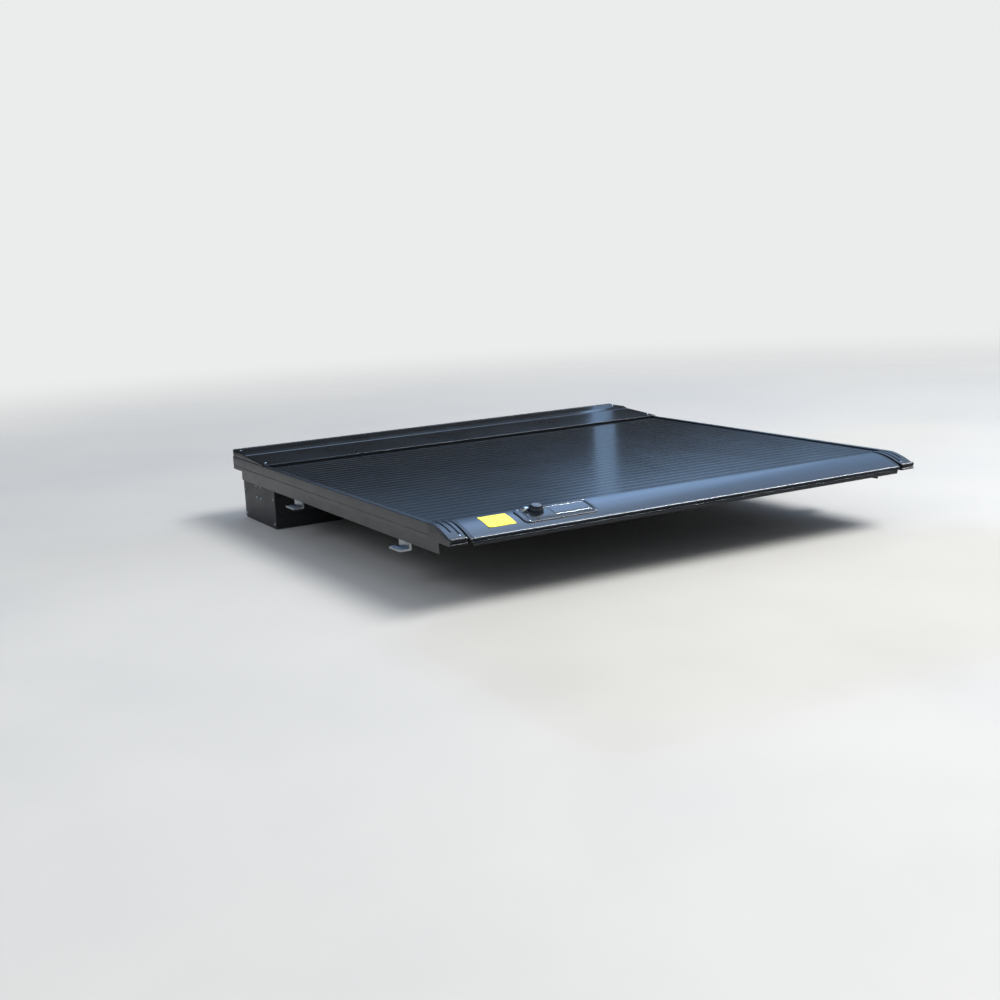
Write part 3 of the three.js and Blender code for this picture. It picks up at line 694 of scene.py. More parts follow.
def lidTop():
    low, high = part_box("canister_lid")
    rear, front, floorZ, top = low.y, high.y, low.z, high.z
    groove = rear + (front - rear) * lidLook["grooveShare"]
    shoulder = top - lidLook["stepMm"] * mm
    dip = lidLook["grooveDepthMm"] * mm
    lip = floorZ + lidLook["lipMm"] * mm
    corners = [(rear, floorZ, 0.4 * mm), (rear, lip, 1.4 * mm), (rear + 5 * mm, floorZ + 4 * mm, 4 * mm),
               (groove - 5 * mm, shoulder, 2.5 * mm), (groove - 1.5 * mm, shoulder - dip, 1.2 * mm),
               (groove + 1.5 * mm, shoulder - dip, 1.2 * mm), (groove + 6 * mm, shoulder + 0.4 * mm, 4 * mm),
               (groove + 26 * mm, top - 2.2 * mm, 12 * mm), (front - 9 * mm, top - 1.6 * mm, 0.8 * mm),
               (front - 7.6 * mm, top, 1.0 * mm), (front, top, lidLook["edgeMm"] * mm),
               (front, floorZ, 0.4 * mm)]
    return rounded(corners, 8), low, high


def addLid():
    outline, low, high = lidTop()
    wall, edge, mouth = lengths(lidLook, "wallMm", "endEdgeMm", "mouthMm")
    floorZ = low.z

    def station(inset, hollow):
        # the outline pulled in by inset, and its inside, which is flat on the floor where the lid is solid
        points = []
        for y, z in outline:
            up = max(z - inset, floorZ) if z > floorZ + inset else z
            points.append((min(max(y, low.y + inset * 0.6), high.y - inset), up))
        inside = []
        for y, z in outline[::-1]:
            if low.y + mouth < y < high.y - wall and z > floorZ + wall:
                inside.append((y, z - wall if hollow else floorZ))
        lead = [(high.y - wall, floorZ), (high.y - wall, high.z - wall - 1.5 * mm if hollow else floorZ)]
        trail = [(low.y + mouth, floorZ + 1 * mm if hollow else floorZ), (low.y + mouth, floorZ)]
        return points + lead + inside + trail

    stations = [(low.x + edge * share, edge * quarterFall(share), False)
                for share in (0, 0.06, 0.2, 0.4, 0.7, 1)]
    stations += [(low.x + wall, 0, False), (low.x + wall, 0, True)]
    stations += [(-x, inset, hollow) for x, inset, hollow in reversed(stations)]
    bm = bmesh.new()
    loft(bm, [[Vector((x, y, z)) for y, z in station(inset, hollow)] for x, inset, hollow in stations])
    makePiece("lid_moulding", bm, lidPlastic, "frame", ("canister_lid",), 30)


addLid()


# Wiper brush under the lid's rear lip: a strip of cut pile, each tuft leaning its own way
brushLook = {"tuftMm": 2.4, "leanMm": 0.6, "backMm": 1.1, "insetMm": 0.3, "unevenMm": 0.4}


def addBrush():
    low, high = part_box("mouth_brush")
    bm = bmesh.new()
    tuft, lean, inset, uneven = lengths(brushLook, "tuftMm", "leanMm", "insetMm", "unevenMm")
    back = high.z - brushLook["backMm"] * mm
    section = ((low.y, back), (high.y, back), (high.y, high.z), (low.y, high.z))
    loft(bm, [[Vector((x, y, z)) for y, z in section] for x in (low.x, high.x)])
    count = int((high.x - low.x) / tuft)
    half = tuft * 0.42
    for i in range(count):
        x = low.x + (i + 0.5) * (high.x - low.x) / count
        shift = (random.random() - 0.5) * lean
        tip = low.z + random.random() * uneven
        yIn, yOut = low.y + inset, high.y - inset
        upper = [Vector((x - half, yIn, back)), Vector((x + half, yIn, back)), Vector((x + half, yOut, back)),
                 Vector((x - half, yOut, back))]
        lower = [Vector((p.x * 0.3 + x * 0.7 + shift, p.y, tip)) for p in upper]
        loft(bm, [upper, lower])
    makePiece("mouth_brush_pile", bm, pile, "frame", ("mouth_brush",))


addBrush()


# Lock plate: it lies on the bar's curved skin, with a double rim round a sunk tray
plateLook = {"cornerMm": 16, "rimMm": {"left": 17, "right": 9, "rear": 12.5, "front": 9},
             "outer": [(0.0, 0.3), (0.0, 1.7), (0.2, 2.3), (0.7, 2.8), (1.4, 3.0), (2.2, 3.1)],
             "tray": [(-2.6, 3.1), (-2.0, 3.4), (-1.2, 3.6), (-0.4, 3.4), (0.0, 2.6), (0.2, 1.5), (0.7, 1.0),
                      (1.6, 0.9), (2.6, 1.0), (3.2, 1.5), (4.0, 1.7), (5.0, 1.7), (12.0, 1.7), (18.0, 1.7),
                      (23.0, 1.7)]}


def skinLoops(x0, x1, y0, y1, corner, rings):
    loops = []
    for inset, lift in rings:
        ring = loopRectangle(x0 + inset * mm, x1 - inset * mm, y0 + inset * mm, y1 - inset * mm,
                             corner * mm - inset * mm)
        loops.append([Vector((x, y, barSkin(y) + lift * mm)) for x, y in ring])
    return loops


def addLockPlate():
    low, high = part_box("lock_plate")
    rim = {side: reach * mm for side, reach in plateLook["rimMm"].items()}
    bm = bmesh.new()
    loops = skinLoops(low.x, high.x, low.y, high.y, plateLook["cornerMm"], plateLook["outer"])
    loops += skinLoops(low.x + rim["left"], high.x - rim["right"], low.y + rim["rear"], high.y - rim["front"],
                       plateLook["cornerMm"] - 9, plateLook["tray"])
    loft(bm, loops)
    makePiece("lock_plate_moulding", bm, lockPlastic, "bar", ("lock_plate",), 24)


addLockPlate()


# Label: a plain dark film in a thin bright frame, with no lettering
labelLook = {"cornerMm": 4, "marginMm": 2, "filmCornerMm": 3,
             "film": [(0.0, 1.5), (0.0, 2.2), (0.3, 2.4), (6.0, 2.4), (16.0, 2.4), (20.5, 2.4)],
             "frame": [(0.0, 1.4), (0.0, 2.3), (0.12, 2.5), (0.35, 2.6), (0.58, 2.5), (0.7, 2.3), (0.7, 1.4)]}


def addLabel():
    low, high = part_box("label_panel")
    margin = labelLook["marginMm"] * mm
    bm = bmesh.new()
    loft(bm, skinLoops(low.x + margin, high.x - margin, low.y + margin, high.y - margin,
                       labelLook["filmCornerMm"], labelLook["film"]))
    makePiece("label_film", bm, labelVinyl, "bar", ("label_panel",))
    bm = bmesh.new()
    loops = skinLoops(low.x, high.x, low.y, high.y, labelLook["cornerMm"], labelLook["frame"])
    loft(bm, loops + [loops[0]], caps=False)
    makePiece("label_frame", bm, stainless, "bar", ())


addLabel()


# Blank yellow sticker: thin vinyl laid on the bar, with one corner starting to lift
stickerLook = {"cornerMm": 2.5, "liftMm": 1.4, "liftReachMm": 16,
               "rings": [(0.0, 0.3), (0.0, 0.6), (0.15, 0.7), (5.0, 0.7), (15.0, 0.7), (28.0, 0.7),
                         (38.5, 0.7)]}


def addSticker():
    low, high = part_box("blank_sticker")
    bm = bmesh.new()
    loops = skinLoops(low.x, high.x, low.y, high.y, stickerLook["cornerMm"], stickerLook["rings"])
    corner = Vector((low.x, low.y))
    for loop in loops:
        for p in loop:
            near = max(1 - (Vector((p.x, p.y)) - corner).length / (stickerLook["liftReachMm"] * mm), 0)
            p.z += stickerLook["liftMm"] * mm * near * near
    loft(bm, loops)
    makePiece("yellow_sticker", bm, yellowVinyl, "bar", ("blank_sticker",))


addSticker()
print("lid, brush, lock plate and labels made")


# Everything on the lock's axis is made upright, with the bar's skin at height 0, and then leaned back with
# the skin: the lean is the axis of the frame's own lock joint
lockJoint = next(j for j in frame["joints"] if j["name"] == "lock_turn")
lockPlace = Vector(lockJoint["pos_m"])
lockUp = -Vector(lockJoint["axis"]).normalized()
lockLean = Matrix.Translation(lockPlace) @ Matrix.Rotation(math.atan2(-lockUp.y, lockUp.z), 4, "X")


def turned(bm, profile, count=64, flutes=0, fluteDepth=0.0, fluted=(0, 0)):
    # rings of (radius, height); rings between the two fluted heights carry finger flutes
    loops = []
    for radius, height in profile:
        ring = []
        for i in range(count):
            angle = 2 * math.pi * i / count
            inBand = fluted[0] <= height <= fluted[1]
            cut = fluteDepth * (0.5 - 0.5 * math.cos(flutes * angle)) if inBand else 0
            ring.append(Vector(((radius - cut) * math.cos(angle), (radius - cut) * math.sin(angle), height)))
        loops.append(ring)
    loft(bm, loops)


# Turn knob: a skirt, a fluted waist, a flat face and a raised pointer, on a low boss; the face disc is
# coloured lighter grey than the knob as a painted highlight
knobLook = {"skirtMm": 18.5, "headMm": 14.0, "heightMm": 15.0, "skirtHeightMm": 7.6, "seatMm": 3.6,
            "flutes": 26, "fluteDepthMm": 0.5, "pointerMm": 4.2, "steps": 156, "plainSteps": 72}


def addKnob():
    seat, skirt, head = (knobLook[k] * mm for k in ("seatMm", "skirtMm", "headMm"))
    waist, top = seat + knobLook["skirtHeightMm"] * mm, seat + knobLook["heightMm"] * mm
    profile = [(skirt - 1.5 * mm, seat), (skirt - 0.3 * mm, seat + 0.3 * mm), (skirt, seat + 1.2 * mm),
               (skirt - 0.1 * mm, seat + 2.2 * mm), (skirt - 0.8 * mm, waist - 1.6 * mm),
               (skirt - 1.6 * mm, waist - 0.3 * mm), (skirt - 2.9 * mm, waist + 1.0 * mm),
               (head + 1.4 * mm, waist + 3.2 * mm), (head + 0.5 * mm, top - 2.2 * mm), (head, top - 1.1 * mm),
               (head - 0.4 * mm, top - 0.4 * mm), (head - 1.0 * mm, top), (head - 1.6 * mm, top),
               (head - 1.8 * mm, top - 0.4 * mm), (1 * mm, top - 0.4 * mm)]
    bm = bmesh.new()
    turned(bm, profile, knobLook["steps"], knobLook["flutes"], knobLook["fluteDepthMm"] * mm,
           (seat + 2.1 * mm, waist + 0.1 * mm))
    half = knobLook["pointerMm"] * mm / 2
    nub = [(head - 3.0 * mm, waist, 0), (head - 3.0 * mm, top + 0.2 * mm, 0.8 * mm),
           (head + 1.6 * mm, top - 0.6 * mm, 1.2 * mm), (skirt - 1.6 * mm, waist, 0)]
    prism(bm, [rounded(nub, 4)], alongX, -half, half)
    bmesh.ops.transform(bm, matrix=lockLean, verts=bm.verts)
    makePiece("lock_knob_turned", bm, knobPlastic, "lock", ("lock_knob",), 35)
    # a lighter grey disc sunk in the knob's top: its colour is a painted highlight, not the knob's own
    bm = bmesh.new()
    turned(bm, [(head - 2.0 * mm, top - 1.0 * mm), (head - 2.0 * mm, top - 0.3 * mm),
                (head - 2.3 * mm, top - 0.05 * mm), (1 * mm, top)], knobLook["plainSteps"])
    bmesh.ops.transform(bm, matrix=lockLean, verts=bm.verts)
    makePiece("knob_face_painted_highlight", bm, knobFacePaintedHighlight, "lock")
    bm = bmesh.new()
    turned(bm, [(skirt + 1.0 * mm, 0.4 * mm), (skirt + 1.4 * mm, 1.2 * mm), (skirt + 1.4 * mm, 2.6 * mm),
                (skirt + 0.9 * mm, 3.2 * mm), (2 * mm, 3.3 * mm)], knobLook["plainSteps"])
    bmesh.ops.transform(bm, matrix=lockLean, verts=bm.verts)
    makePiece("knob_boss", bm, lockPlastic, "bar")


addKnob()


# Key barrel: chrome rim round a core with a key slot, under the same lean as the knob
keyLook = {"radiusMm": 5.0, "rimMm": 1.6, "heightMm": 9.0, "seatMm": 3.6, "slotMm": (0.9, 3.0),
           "slotDepthMm": 3.0, "stemMm": 10, "steps": 48}


def addKeyBarrel():
    keyJoint = next(j for j in frame["joints"] if j["name"] == "key_turn")
    core, rim = keyLook["radiusMm"] * mm, (keyLook["radiusMm"] + keyLook["rimMm"]) * mm
    seat = keyLook["seatMm"] * mm
    top = seat + keyLook["heightMm"] * mm
    count = keyLook["steps"]
    profile = [(rim - 0.5 * mm, seat), (rim, seat + 0.6 * mm), (rim - 0.3 * mm, top - 1.4 * mm),
               (rim - 0.7 * mm, top - 0.5 * mm), (rim - 1.3 * mm, top - 0.4 * mm),
               (core - 0.2 * mm, top - 1.0 * mm), (core - 0.4 * mm, top - 0.3 * mm), (core - 0.9 * mm, top)]
    loops = [[Vector((x, y, height)) for x, y in circle(radius, count)] for radius, height in profile]
    halfWide, halfLong = (v * mm for v in keyLook["slotMm"])
    slotRing = []
    for x, y in circle(1, count):
        reach = min(halfWide / max(abs(x), 1e-6), halfLong / max(abs(y), 1e-6))
        slotRing.append((x * reach, y * reach))
    for height in (top, top - keyLook["slotDepthMm"] * mm):
        loops.append([Vector((x, y, height)) for x, y in slotRing])
    bm = bmesh.new()
    loft(bm, loops)
    stem = [[Vector((x, y, height)) for x, y in circle(core - 0.3 * mm, count)]
            for height in (-keyLook["stemMm"] * mm, seat)]
    loft(bm, stem)
    shift = Matrix.Translation(Vector(keyJoint["pos_m"]) - lockPlace)
    bmesh.ops.transform(bm, matrix=shift @ lockLean, verts=bm.verts)
    makePiece("key_barrel_turned", bm, chrome, "key", ("key_barrel",), 35)


addKeyBarrel()


# Screws: low domes with a hexagon socket, each standing on the surface that it holds
def screwHead(bm, place, up, radius, height):
    dome = [(1.0, 0.0), (1.0, 0.25), (0.93, 0.55), (0.78, 0.82), (0.56, 1.0)]
    socket = [(0.42, 1.0), (0.42, 0.35), (0.05, 0.3)]
    halfSide = math.radians(30)
    turn = Vector(up).to_track_quat("Z", "Y").to_matrix().to_4x4()
    count = 24
    loops = []
    for share, rise in dome:
        loops.append([Vector((x, y, height * rise)) for x, y in circle(radius * share, count)])
    for share, rise in socket:
        ring = []
        for i in range(count):
            angle = 2 * math.pi * i / count
            wedge = math.cos(halfSide) / math.cos(angle % (2 * halfSide) - halfSide)
            reach = radius * share * wedge
            ring.append(Vector((reach * math.cos(angle), reach * math.sin(angle), height * rise)))
        loops.append(ring)
    part = bmesh.new()
    loft(part, loops)
    bmesh.ops.transform(part, matrix=Matrix.Translation(place) @ turn, verts=part.verts)
    scrap = bpy.data.meshes.new("screwScrap")
    part.to_mesh(scrap)
    part.free()
    bm.from_mesh(scrap)
    bpy.data.meshes.remove(scrap)


def skinPlace(x, y, lift):
    return Vector((x, y, barSkin(y) + lift * mm))


screwLook = {"plateMm": (2.6, 1.1), "plateLeftMm": 14, "plateRightMm": 9, "plateFrontMm": 5.5,
             "plateRearMm": 5, "plateLiftMm": 3.0, "slotsMm": (38, 27), "slotHalfMm": 5,
             "slotReachMm": (5.4, 9.0), "slotCornerMm": 1.4, "slotLiftMm": (2.0, 3.9),
             "capMm": (3.0, 1.3), "capPlaceMm": (33, 17), "capSlope": 0.42, "lidMm": (4, 1.8), "lidInMm": 14}


def addPlateScrews():
    low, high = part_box("lock_plate")
    left, right = lengths(screwLook, "plateLeftMm", "plateRightMm")
    rear, front = lengths(screwLook, "plateRearMm", "plateFrontMm")
    radius, height = (v * mm for v in screwLook["plateMm"])
    bm = bmesh.new()
    for y in (high.y - front, low.y + rear):
        slope = (barSkin(y + mm) - barSkin(y - mm)) / (2 * mm)
        for x in (low.x + left, high.x - right):
            screwHead(bm, skinPlace(x, y, screwLook["plateLiftMm"]), (0, -slope, 1), radius, height)
    makePiece("lock_plate_screws", bm, stainless, "bar")
    bm = bmesh.new()
    half, corner = lengths(screwLook, "slotHalfMm", "slotCornerMm")
    fromLeft, fromRight = (v * mm for v in screwLook["slotsMm"])
    y0, y1 = (low.y + v * mm for v in screwLook["slotReachMm"])
    for x in (low.x + fromLeft, high.x - fromRight):
        ring = loopRectangle(x - half, x + half, y0, y1, corner, 4, 2)
        loft(bm, [[skinPlace(u, v, lift) for u, v in ring] for lift in screwLook["slotLiftMm"]])
    makePiece("lock_plate_slots", bm, rubber, "bar")


addPlateScrews()


def addCapScrews():
    bm = bmesh.new()
    inX, y = (v * mm for v in screwLook["capPlaceMm"])
    radius, height = (v * mm for v in screwLook["capMm"])
    for _, sign in sides():
        place = skinPlace(sign * (capHigh.x - inX), y, capLook["riseMm"] - 0.1)
        screwHead(bm, place, (0, -screwLook["capSlope"], 1), radius, height)
    makePiece("cap_screws", bm, stainless, "frame")


addCapScrews()


def addLidScrews():
    low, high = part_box("canister_lid")
    bm = bmesh.new()
    radius, height = (v * mm for v in screwLook["lidMm"])
    inX = screwLook["lidInMm"] * mm
    for x in (low.x + inX, high.x - inX):
        for y, z, slope in ((low.y + 30 * mm, low.z + 5.6 * mm, 0.07),
                            (high.y - 40 * mm, high.z - 2.2 * mm, 0.01)):
            screwHead(bm, Vector((x, y, z)), (0, -slope, 1), radius, height)
    makePiece("lid_screws", bm, stainless, "frame")


addLidScrews()


# Tailgate seal: a rubber root with a soft lip that leans on the tailgate
sealLook = {"cornersMm": [(2.0, "top", 0.5), (1.9, -2.2, 1.6), (3.6, "foot", 0.9), (6.4, "foot", 0.9),
                          (5.6, -3.2, 1.2), (11, -0.6, 0.8), (11, "top", 0.5)]}


def addSeal():
    low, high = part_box("tailgate_seal")
    ends = {"top": high.z, "foot": low.z}
    outline = [(y * mm, ends[z] if z in ends else z * mm, soft * mm)
               for y, z, soft in sealLook["cornersMm"]]
    outline = [(min(max(u, low.y), high.y), min(max(v, low.z), high.z)) for u, v in rounded(outline, 4)]
    bm = bmesh.new()
    prism(bm, [outline], alongX, low.x, high.x)
    makePiece("tailgate_seal_lip", bm, rubber, "bar", ("tailgate_seal",), 40)


addSeal()


# Canister shell: one folded sheet with rounded folds and pressed stiffening beads
shellLook = {"sheetMm": 3.0, "foldMm": 5.0, "beadMm": 2.2, "beadWideMm": 16, "beadRoundMm": 4,
             "beads": (0.3, 0.62), "rearDropMm": 4}


def addShell():
    low, high = shellLow, shellHigh
    sheet, fold, rearDrop = lengths(shellLook, "sheetMm", "foldMm", "rearDropMm")
    bead, wide, soft = lengths(shellLook, "beadMm", "beadWideMm", "beadRoundMm")
    rearTop = firstLow.z - rearDrop

    def wallRun(y, inward, z0, z1):
        run = []
        for share in shellLook["beads"] if z1 > z0 else shellLook["beads"][::-1]:
            middle = min(z0, z1) + abs(z1 - z0) * share
            turn = 1 if z1 > z0 else -1
            run += [(y, middle - turn * wide, soft), (y + inward * bead, middle - turn * wide / 2, soft),
                    (y + inward * bead, middle + turn * wide / 2, soft), (y, middle + turn * wide, soft)]
        return run

    outer = [(low.y, rearTop, 0)] + wallRun(low.y, 1, rearTop, low.z)
    outer += [(low.y, low.z, fold), (high.y, low.z, fold)]
    outer += wallRun(high.y, -1, low.z, high.z) + [(high.y, high.z, 0.8 * mm)]
    inner = [(high.y - sheet, high.z, 0.8 * mm)] + wallRun(high.y - sheet, -1, high.z, low.z)
    inner += [(high.y - sheet, low.z + sheet, fold - sheet), (low.y + sheet, low.z + sheet, fold - sheet)]
    inner += wallRun(low.y + sheet, 1, low.z, rearTop) + [(low.y + sheet, rearTop, 0)]
    bm = bmesh.new()
    prism(bm, [rounded(outer + inner, 4)], alongX, low.x, high.x)
    makePiece("canister_folded_shell", bm, sheetPaint, "frame", ("canister_shell",), 35)


addShell()


# Canister ends: plates with cut corners, and a bolt circle where the bearing is held
endLook = {"cornerMm": 12, "cutMm": 20, "softMm": 2, "boltCircleMm": 26, "boltMm": (5, 3),
           "screwMm": (4, 2.4), "screwInMm": 14, "screwTopMm": -70}


def addCanisterEnds():
    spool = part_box("spool_tube")
    axisY, axisZ = (spool[0].y + spool[1].y) / 2, (spool[0].z + spool[1].z) / 2
    corner, cut, soft, reach = lengths(endLook, "cornerMm", "cutMm", "softMm", "boltCircleMm")
    screwIn, screwTop = lengths(endLook, "screwInMm", "screwTopMm")
    rearDrop = shellLook["rearDropMm"] * mm
    for side, sign in sides():
        low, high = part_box("canister_end_" + side)
        outline = rounded([(low.y, low.z, corner), (high.y, low.z, corner), (high.y, high.z, soft),
                           (low.y + cut, high.z, soft), (low.y, firstLow.z - rearDrop, soft)], 6)
        bm = bmesh.new()
        prism(bm, [outline], alongX, low.x, high.x)
        makePiece("canister_end_plate_" + side, bm, sheetPaint, "frame",
                  ("canister_end_" + side,))
        bm = bmesh.new()
        face = low.x if side == "left" else high.x
        radius, height = (v * mm for v in endLook["boltMm"])
        for k in range(4):
            angle = math.radians(45 + 90 * k)
            place = Vector((face, axisY + reach * math.cos(angle), axisZ + reach * math.sin(angle)))
            screwHead(bm, place, (sign, 0, 0), radius, height)
        radius, height = (v * mm for v in endLook["screwMm"])
        for z in (low.z + screwIn, screwTop):
            for y in (low.y + screwIn, high.y - screwIn):
                screwHead(bm, Vector((face, y, z)), (sign, 0, 0), radius, height)
        makePiece("canister_bolts_" + side, bm, zinc, "frame")


addCanisterEnds()


# Clamps: bent steel hooks with a toothed jaw, each held by a bolt through the rail's leg
clampLook = {"plateMm": 5.7, "bendMm": 5, "teeth": 7, "toothPitchMm": 2.6, "toothMm": (1.3, 0.9),
             "boltMm": 7, "boltHeadMm": 5, "boltOutMm": 15, "boltZMm": -24}


def addClamps():
    plate, bend, toothPitch = lengths(clampLook, "plateMm", "bendMm", "toothPitchMm")
    bolt, boltHead, boltOut, boltZ = lengths(clampLook, "boltMm", "boltHeadMm", "boltOutMm", "boltZMm")
    toothRun, toothDeep = (v * mm for v in clampLook["toothMm"])
    for side, sign in sides():
        for place in ("rear", "front"):
            low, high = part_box(side + "_clamp_" + place)
            inner, outer = sorted((abs(low.x), abs(high.x)))
            jaw = low.z + plate
            teeth = []
            for k in range(clampLook["teeth"]):
                start = outer - 2 * mm - k * toothPitch
                teeth += [(start, jaw, 0), (start - toothRun, jaw - toothDeep, 0)]
            section = [(inner, high.z, 1.2 * mm), (inner, low.z, bend), (outer, low.z, 1 * mm),
                       (outer, jaw, 0.6 * mm)] + teeth
            section += [(inner + plate, jaw, 1 * mm), (inner + plate, high.z, 1.2 * mm)]
            bm = bmesh.new()
            outline = [(sign * u, v) for u, v in rounded(section, 4)]
            prism(bm, [outline], alongY, low.y, high.y)
            makePiece(side + "_clamp_hook_" + place, bm, zinc, "frame",
                      (side + "_clamp_" + place,), 35)
            bm = bmesh.new()
            middle = (low.y + high.y) / 2
            for y in (middle - boltOut, middle + boltOut):
                screwHead(bm, Vector((sign * inner, y, boltZ)), (-sign, 0, 0), bolt, boltHead)
            makePiece(side + "_clamp_bolts_" + place, bm, zinc, "frame")


addClamps()
print("lock, screws, seal, canister and clamps made")


# Inner parts keep their solids and take their real finishes
innerFinish = {"spool_tube": tubeAluminium, "left_bearing": nylon, "right_bearing": nylon,
               "spool_spring": springSteel, "curtain_leader": webbing, "lock_pinion": zinc,
               "left_latch_rod": zinc, "right_latch_rod": zinc}
for nodeName, material in innerFinish.items():
    mesh = frame["nodes"][nodeName].data
    mesh.materials.clear()
    mesh.materials.append(material)


# Camera: eye level of someone standing behind the pickup's left rear corner
cameraLook = {"placeM": (-2.1156, -2.7232, 0.6882), "yawDeg": 29.18, "pitchDeg": 10.82, "rollDeg": -2.84,
              "lensMm": 49.49}


def addCamera():
    yaw, pitchDown, roll = (math.radians(cameraLook[k]) for k in ("yawDeg", "pitchDeg", "rollDeg"))
    level = math.cos(pitchDown)
    ahead = Vector((math.sin(yaw) * level, math.cos(yaw) * level, -math.sin(pitchDown)))
    right = Vector((math.cos(yaw), -math.sin(yaw), 0))
    up = right.cross(ahead)
    right, up = (math.cos(roll) * right + math.sin(roll) * up, math.cos(roll) * up - math.sin(roll) * right)
    data = bpy.data.cameras.new("rearCorner")
    data.lens, data.sensor_width = cameraLook["lensMm"], 36
    data.clip_end = 100
    camera = bpy.data.objects.new("rearCorner", data)
    turn = Matrix((right, up, -ahead)).transposed().to_4x4()
    camera.matrix_world = Matrix.Translation(Vector(cameraLook["placeM"])) @ turn
    bpy.context.scene.collection.objects.link(camera)
    bpy.context.scene.camera = camera


addCamera()


# Studio: a pale floor just under the canister, one large light behind the tailgate, and a soft dome. What
# the satin coats mirror is dim near the horizon and a cool sky higher up, a little brighter on the right.
studio = {"floorGapMm": 1.5, "floorM": 60, "floorTones": ("#b2b4b5", "#b8babb"), "floorFadeM": (2.2, 7.5),
          "background": "#ebecec", "fill": ("#ffffff", 0.55), "yawDeg": 29.18, "domeStrength": 10.0,
          "climb": [(0.0, "#30343a", 0.10), (0.12, "#46525f", 0.20), (0.20, "#5d748d", 0.34),
                    (0.30, "#738fb0", 0.46), (0.55, "#8aaad4", 0.57), (1.0, "#afc5e4", 0.7)],
          "across": [(0.0, 0.26), (0.40, 0.29), (0.49, 0.29), (0.514, 0.26), (0.526, 0.42), (0.534, 1.0),
                     (0.543, 1.0), (0.551, 0.76), (0.562, 0.94), (0.585, 0.92), (0.600, 0.62), (0.610, 0.90),
                     (0.620, 0.76), (0.635, 0.45), (0.70, 0.40), (1.0, 0.35)],
          "flags": {"tones": ("#0a0b0d", "#0d0f12"), "cards": [
              {"x": (-1.5, 0.75), "low": (1.64, 0.03), "high": (1.64, 0.37)},
              {"x": (0.845, 2.6), "low": (1.64, 0.03), "high": (1.64, 0.42)},
              {"x": (-0.9, 0.9), "low": (-0.02, -0.07), "high": (-0.9, -0.07)}]},
          "lights": [
              {"name": "rearSoftbox", "place": (2.9, -2.3, 5.6), "aim": (0, 0.3, 0), "size": (5.5, 2.2),
               "power": 720, "tint": "#fffaf2", "mirrored": False},
              {"name": "lipStrip", "place": (4.5, -1.9, 5.4), "aim": (4.1, 0.5, 0), "size": (4.6, 0.6),
               "power": 950, "tint": "#ffffff", "lights": False},
              {"name": "leftSoftbox", "place": (-4.2, -1.0, 3.2), "aim": (0, 0.7, 0), "size": (2.6, 2.0),
               "power": 45, "tint": "#f4f8ff"},
          ]}


def paleFloor():
    # the floor fades into the plain background, so that no horizon shows
    material, tree, shader, place = startMaterial("paleFloor", {"IOR": 1.45})
    mottled(tree, shader, place, {"tones": studio["floorTones"], "rough": (0.6, 0.75), "driftMm": 900})
    reach = addNode(tree, "ShaderNodeVectorMath", {"operation": "LENGTH"}, {0: place})
    near, far = studio["floorFadeM"]
    fade = addNode(tree, "ShaderNodeMapRange", {"interpolation_type": "SMOOTHSTEP", "From Min": near,
                                                "From Max": far}, {"Value": reach.outputs["Value"]})
    clear = addNode(tree, "ShaderNodeBsdfTransparent")
    mix = addNode(tree, "ShaderNodeMixShader",
                  links={0: fade.outputs["Result"], 1: shader.outputs["BSDF"], 2: clear.outputs["BSDF"]})
    output = next(node for node in tree.nodes if node.type == "OUTPUT_MATERIAL")
    tree.links.new(mix.outputs[0], output.inputs["Surface"])
    return material


def addStage(name, cards, material):
    bm = bmesh.new()
    for card in cards:
        bm.faces.new([bm.verts.new(corner) for corner in card])
    mesh = bpy.data.meshes.new(name)
    bm.to_mesh(mesh)
    bm.free()
    mesh.materials.append(material)
    thing = bpy.data.objects.new(name, mesh)
    bpy.context.scene.collection.objects.link(thing)
    return thing


def addFloor():
    half = studio["floorM"] / 2
    floorZ = cadBounds[0].z - studio["floorGapMm"] * mm
    corners = ((-half, -half), (half, -half), (half, half), (-half, half))
    addStage("studioFloor", [[(x, y, floorZ) for x, y in corners]], paleFloor())


def addLights():
    for spec in studio["lights"]:
        data = bpy.data.lights.new(spec["name"], "AREA")
        data.shape = "RECTANGLE"
        data.size, data.size_y = spec["size"]
        data.energy = spec["power"]
        data.color = toLinear(spec["tint"])[:3]
        lamp = bpy.data.objects.new(spec["name"], data)
        place = Vector(spec["place"])
        lamp.location = place
        lamp.rotation_mode = "QUATERNION"
        lamp.rotation_quaternion = (Vector(spec["aim"]) - place).to_track_quat("-Z", "Y")
        lamp.visible_camera = False
        lamp.visible_glossy = spec.get("mirrored", True)
        lamp.visible_diffuse = spec.get("lights", True)
        bpy.context.scene.collection.objects.link(lamp)


def addRamp(tree, source, stops):
    ramp = addNode(tree, "ShaderNodeValToRGB", links={"Fac": source})
    elements = ramp.color_ramp.elements
    for element, (position, tone) in zip(list(elements), (stops[0], stops[-1])):
        element.position, element.color = position, tone
    for position, tone in stops[1:-1]:
        elements.new(position).color = tone
    return ramp.outputs["Color"]


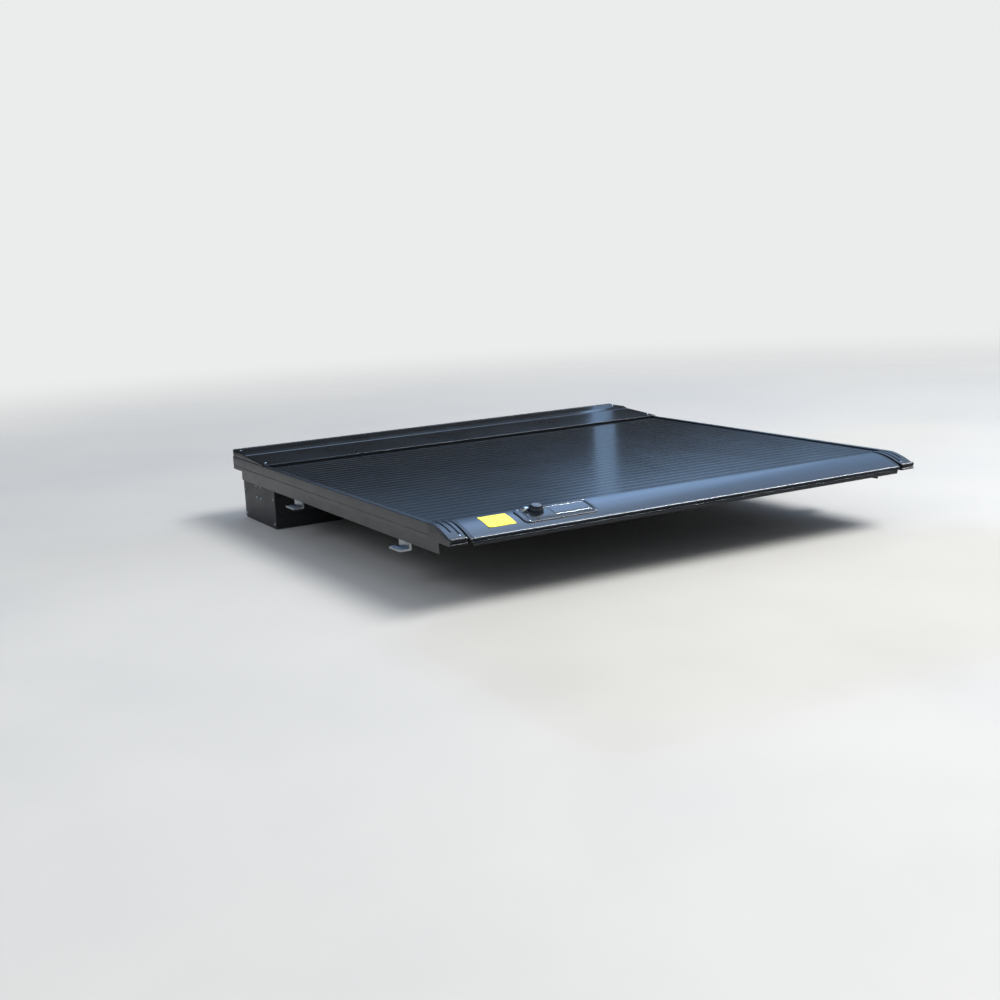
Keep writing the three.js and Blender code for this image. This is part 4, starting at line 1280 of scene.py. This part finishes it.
def addDome():
    world = bpy.data.worlds.new("softDome")
    bpy.context.scene.world = world
    world.use_nodes = True
    tree = world.node_tree
    tree.nodes.clear()
    way = addNode(tree, "ShaderNodeTexCoord").outputs["Generated"]
    height = addNode(tree, "ShaderNodeSeparateXYZ", links={"Vector": way}).outputs["Z"]
    yaw = math.radians(studio["yawDeg"])
    sideways = addNode(tree, "ShaderNodeVectorMath", {"operation": "DOT_PRODUCT",
                                                      1: (math.cos(yaw), -math.sin(yaw), 0)}, {0: way})
    share = addNode(tree, "ShaderNodeMapRange", {"From Min": -1.0, "From Max": 1.0},
                    {"Value": sideways.outputs["Value"]})
    climb = addRamp(tree, height, [(z, tuple(c * gain for c in toLinear(tone)[:3]) + (1,))
                                   for z, tone, gain in studio["climb"]])
    across = addRamp(tree, share.outputs["Result"],
                     [(x, (gain, gain, gain, 1)) for x, gain in studio["across"]])
    sky = addNode(tree, "ShaderNodeVectorMath", {"operation": "MULTIPLY"}, {0: climb, 1: across})
    mirrored = addNode(tree, "ShaderNodeBackground", {"Strength": studio["domeStrength"]},
                       {"Color": sky.outputs["Vector"]})
    fill = addNode(tree, "ShaderNodeBackground", {"Color": toLinear(studio["fill"][0]),
                                                  "Strength": studio["fill"][1]})
    plain = addNode(tree, "ShaderNodeBackground", {"Color": toLinear(studio["background"]), "Strength": 1.0})
    paths = addNode(tree, "ShaderNodeLightPath")
    lit = addNode(tree, "ShaderNodeMixShader",
                  links={0: paths.outputs["Is Glossy Ray"], 1: fill.outputs[0], 2: mirrored.outputs[0]})
    seen = addNode(tree, "ShaderNodeMixShader",
                   links={0: paths.outputs["Is Camera Ray"], 1: lit.outputs[0], 2: plain.outputs[0]})
    addNode(tree, "ShaderNodeOutputWorld", links={"Surface": seen.outputs[0]})


def addFlags():
    # black cards seen only in reflections: two at the cab end darken the far half of the curtain, with a gap
    # that leaves one bright streak, and one stands in for the tailgate under the end bar
    spec = studio["flags"]
    material, tree, shader, place = startMaterial("blackFlag", {"IOR": 1.45})
    mottled(tree, shader, place, {"tones": spec["tones"], "rough": (0.8, 0.9), "driftMm": 100})
    cards = []
    for card in spec["cards"]:
        (left, right), low, high = card["x"], card["low"], card["high"]
        cards.append([(left, *low), (right, *low), (right, *high), (left, *high)])
    flags = addStage("blackFlags", cards, material)
    flags.visible_camera = flags.visible_shadow = flags.visible_diffuse = False


addFloor()
addFlags()
addLights()
addDome()
bpy.context.scene.view_settings.view_transform = "Standard"
print("camera, floor and lights made")
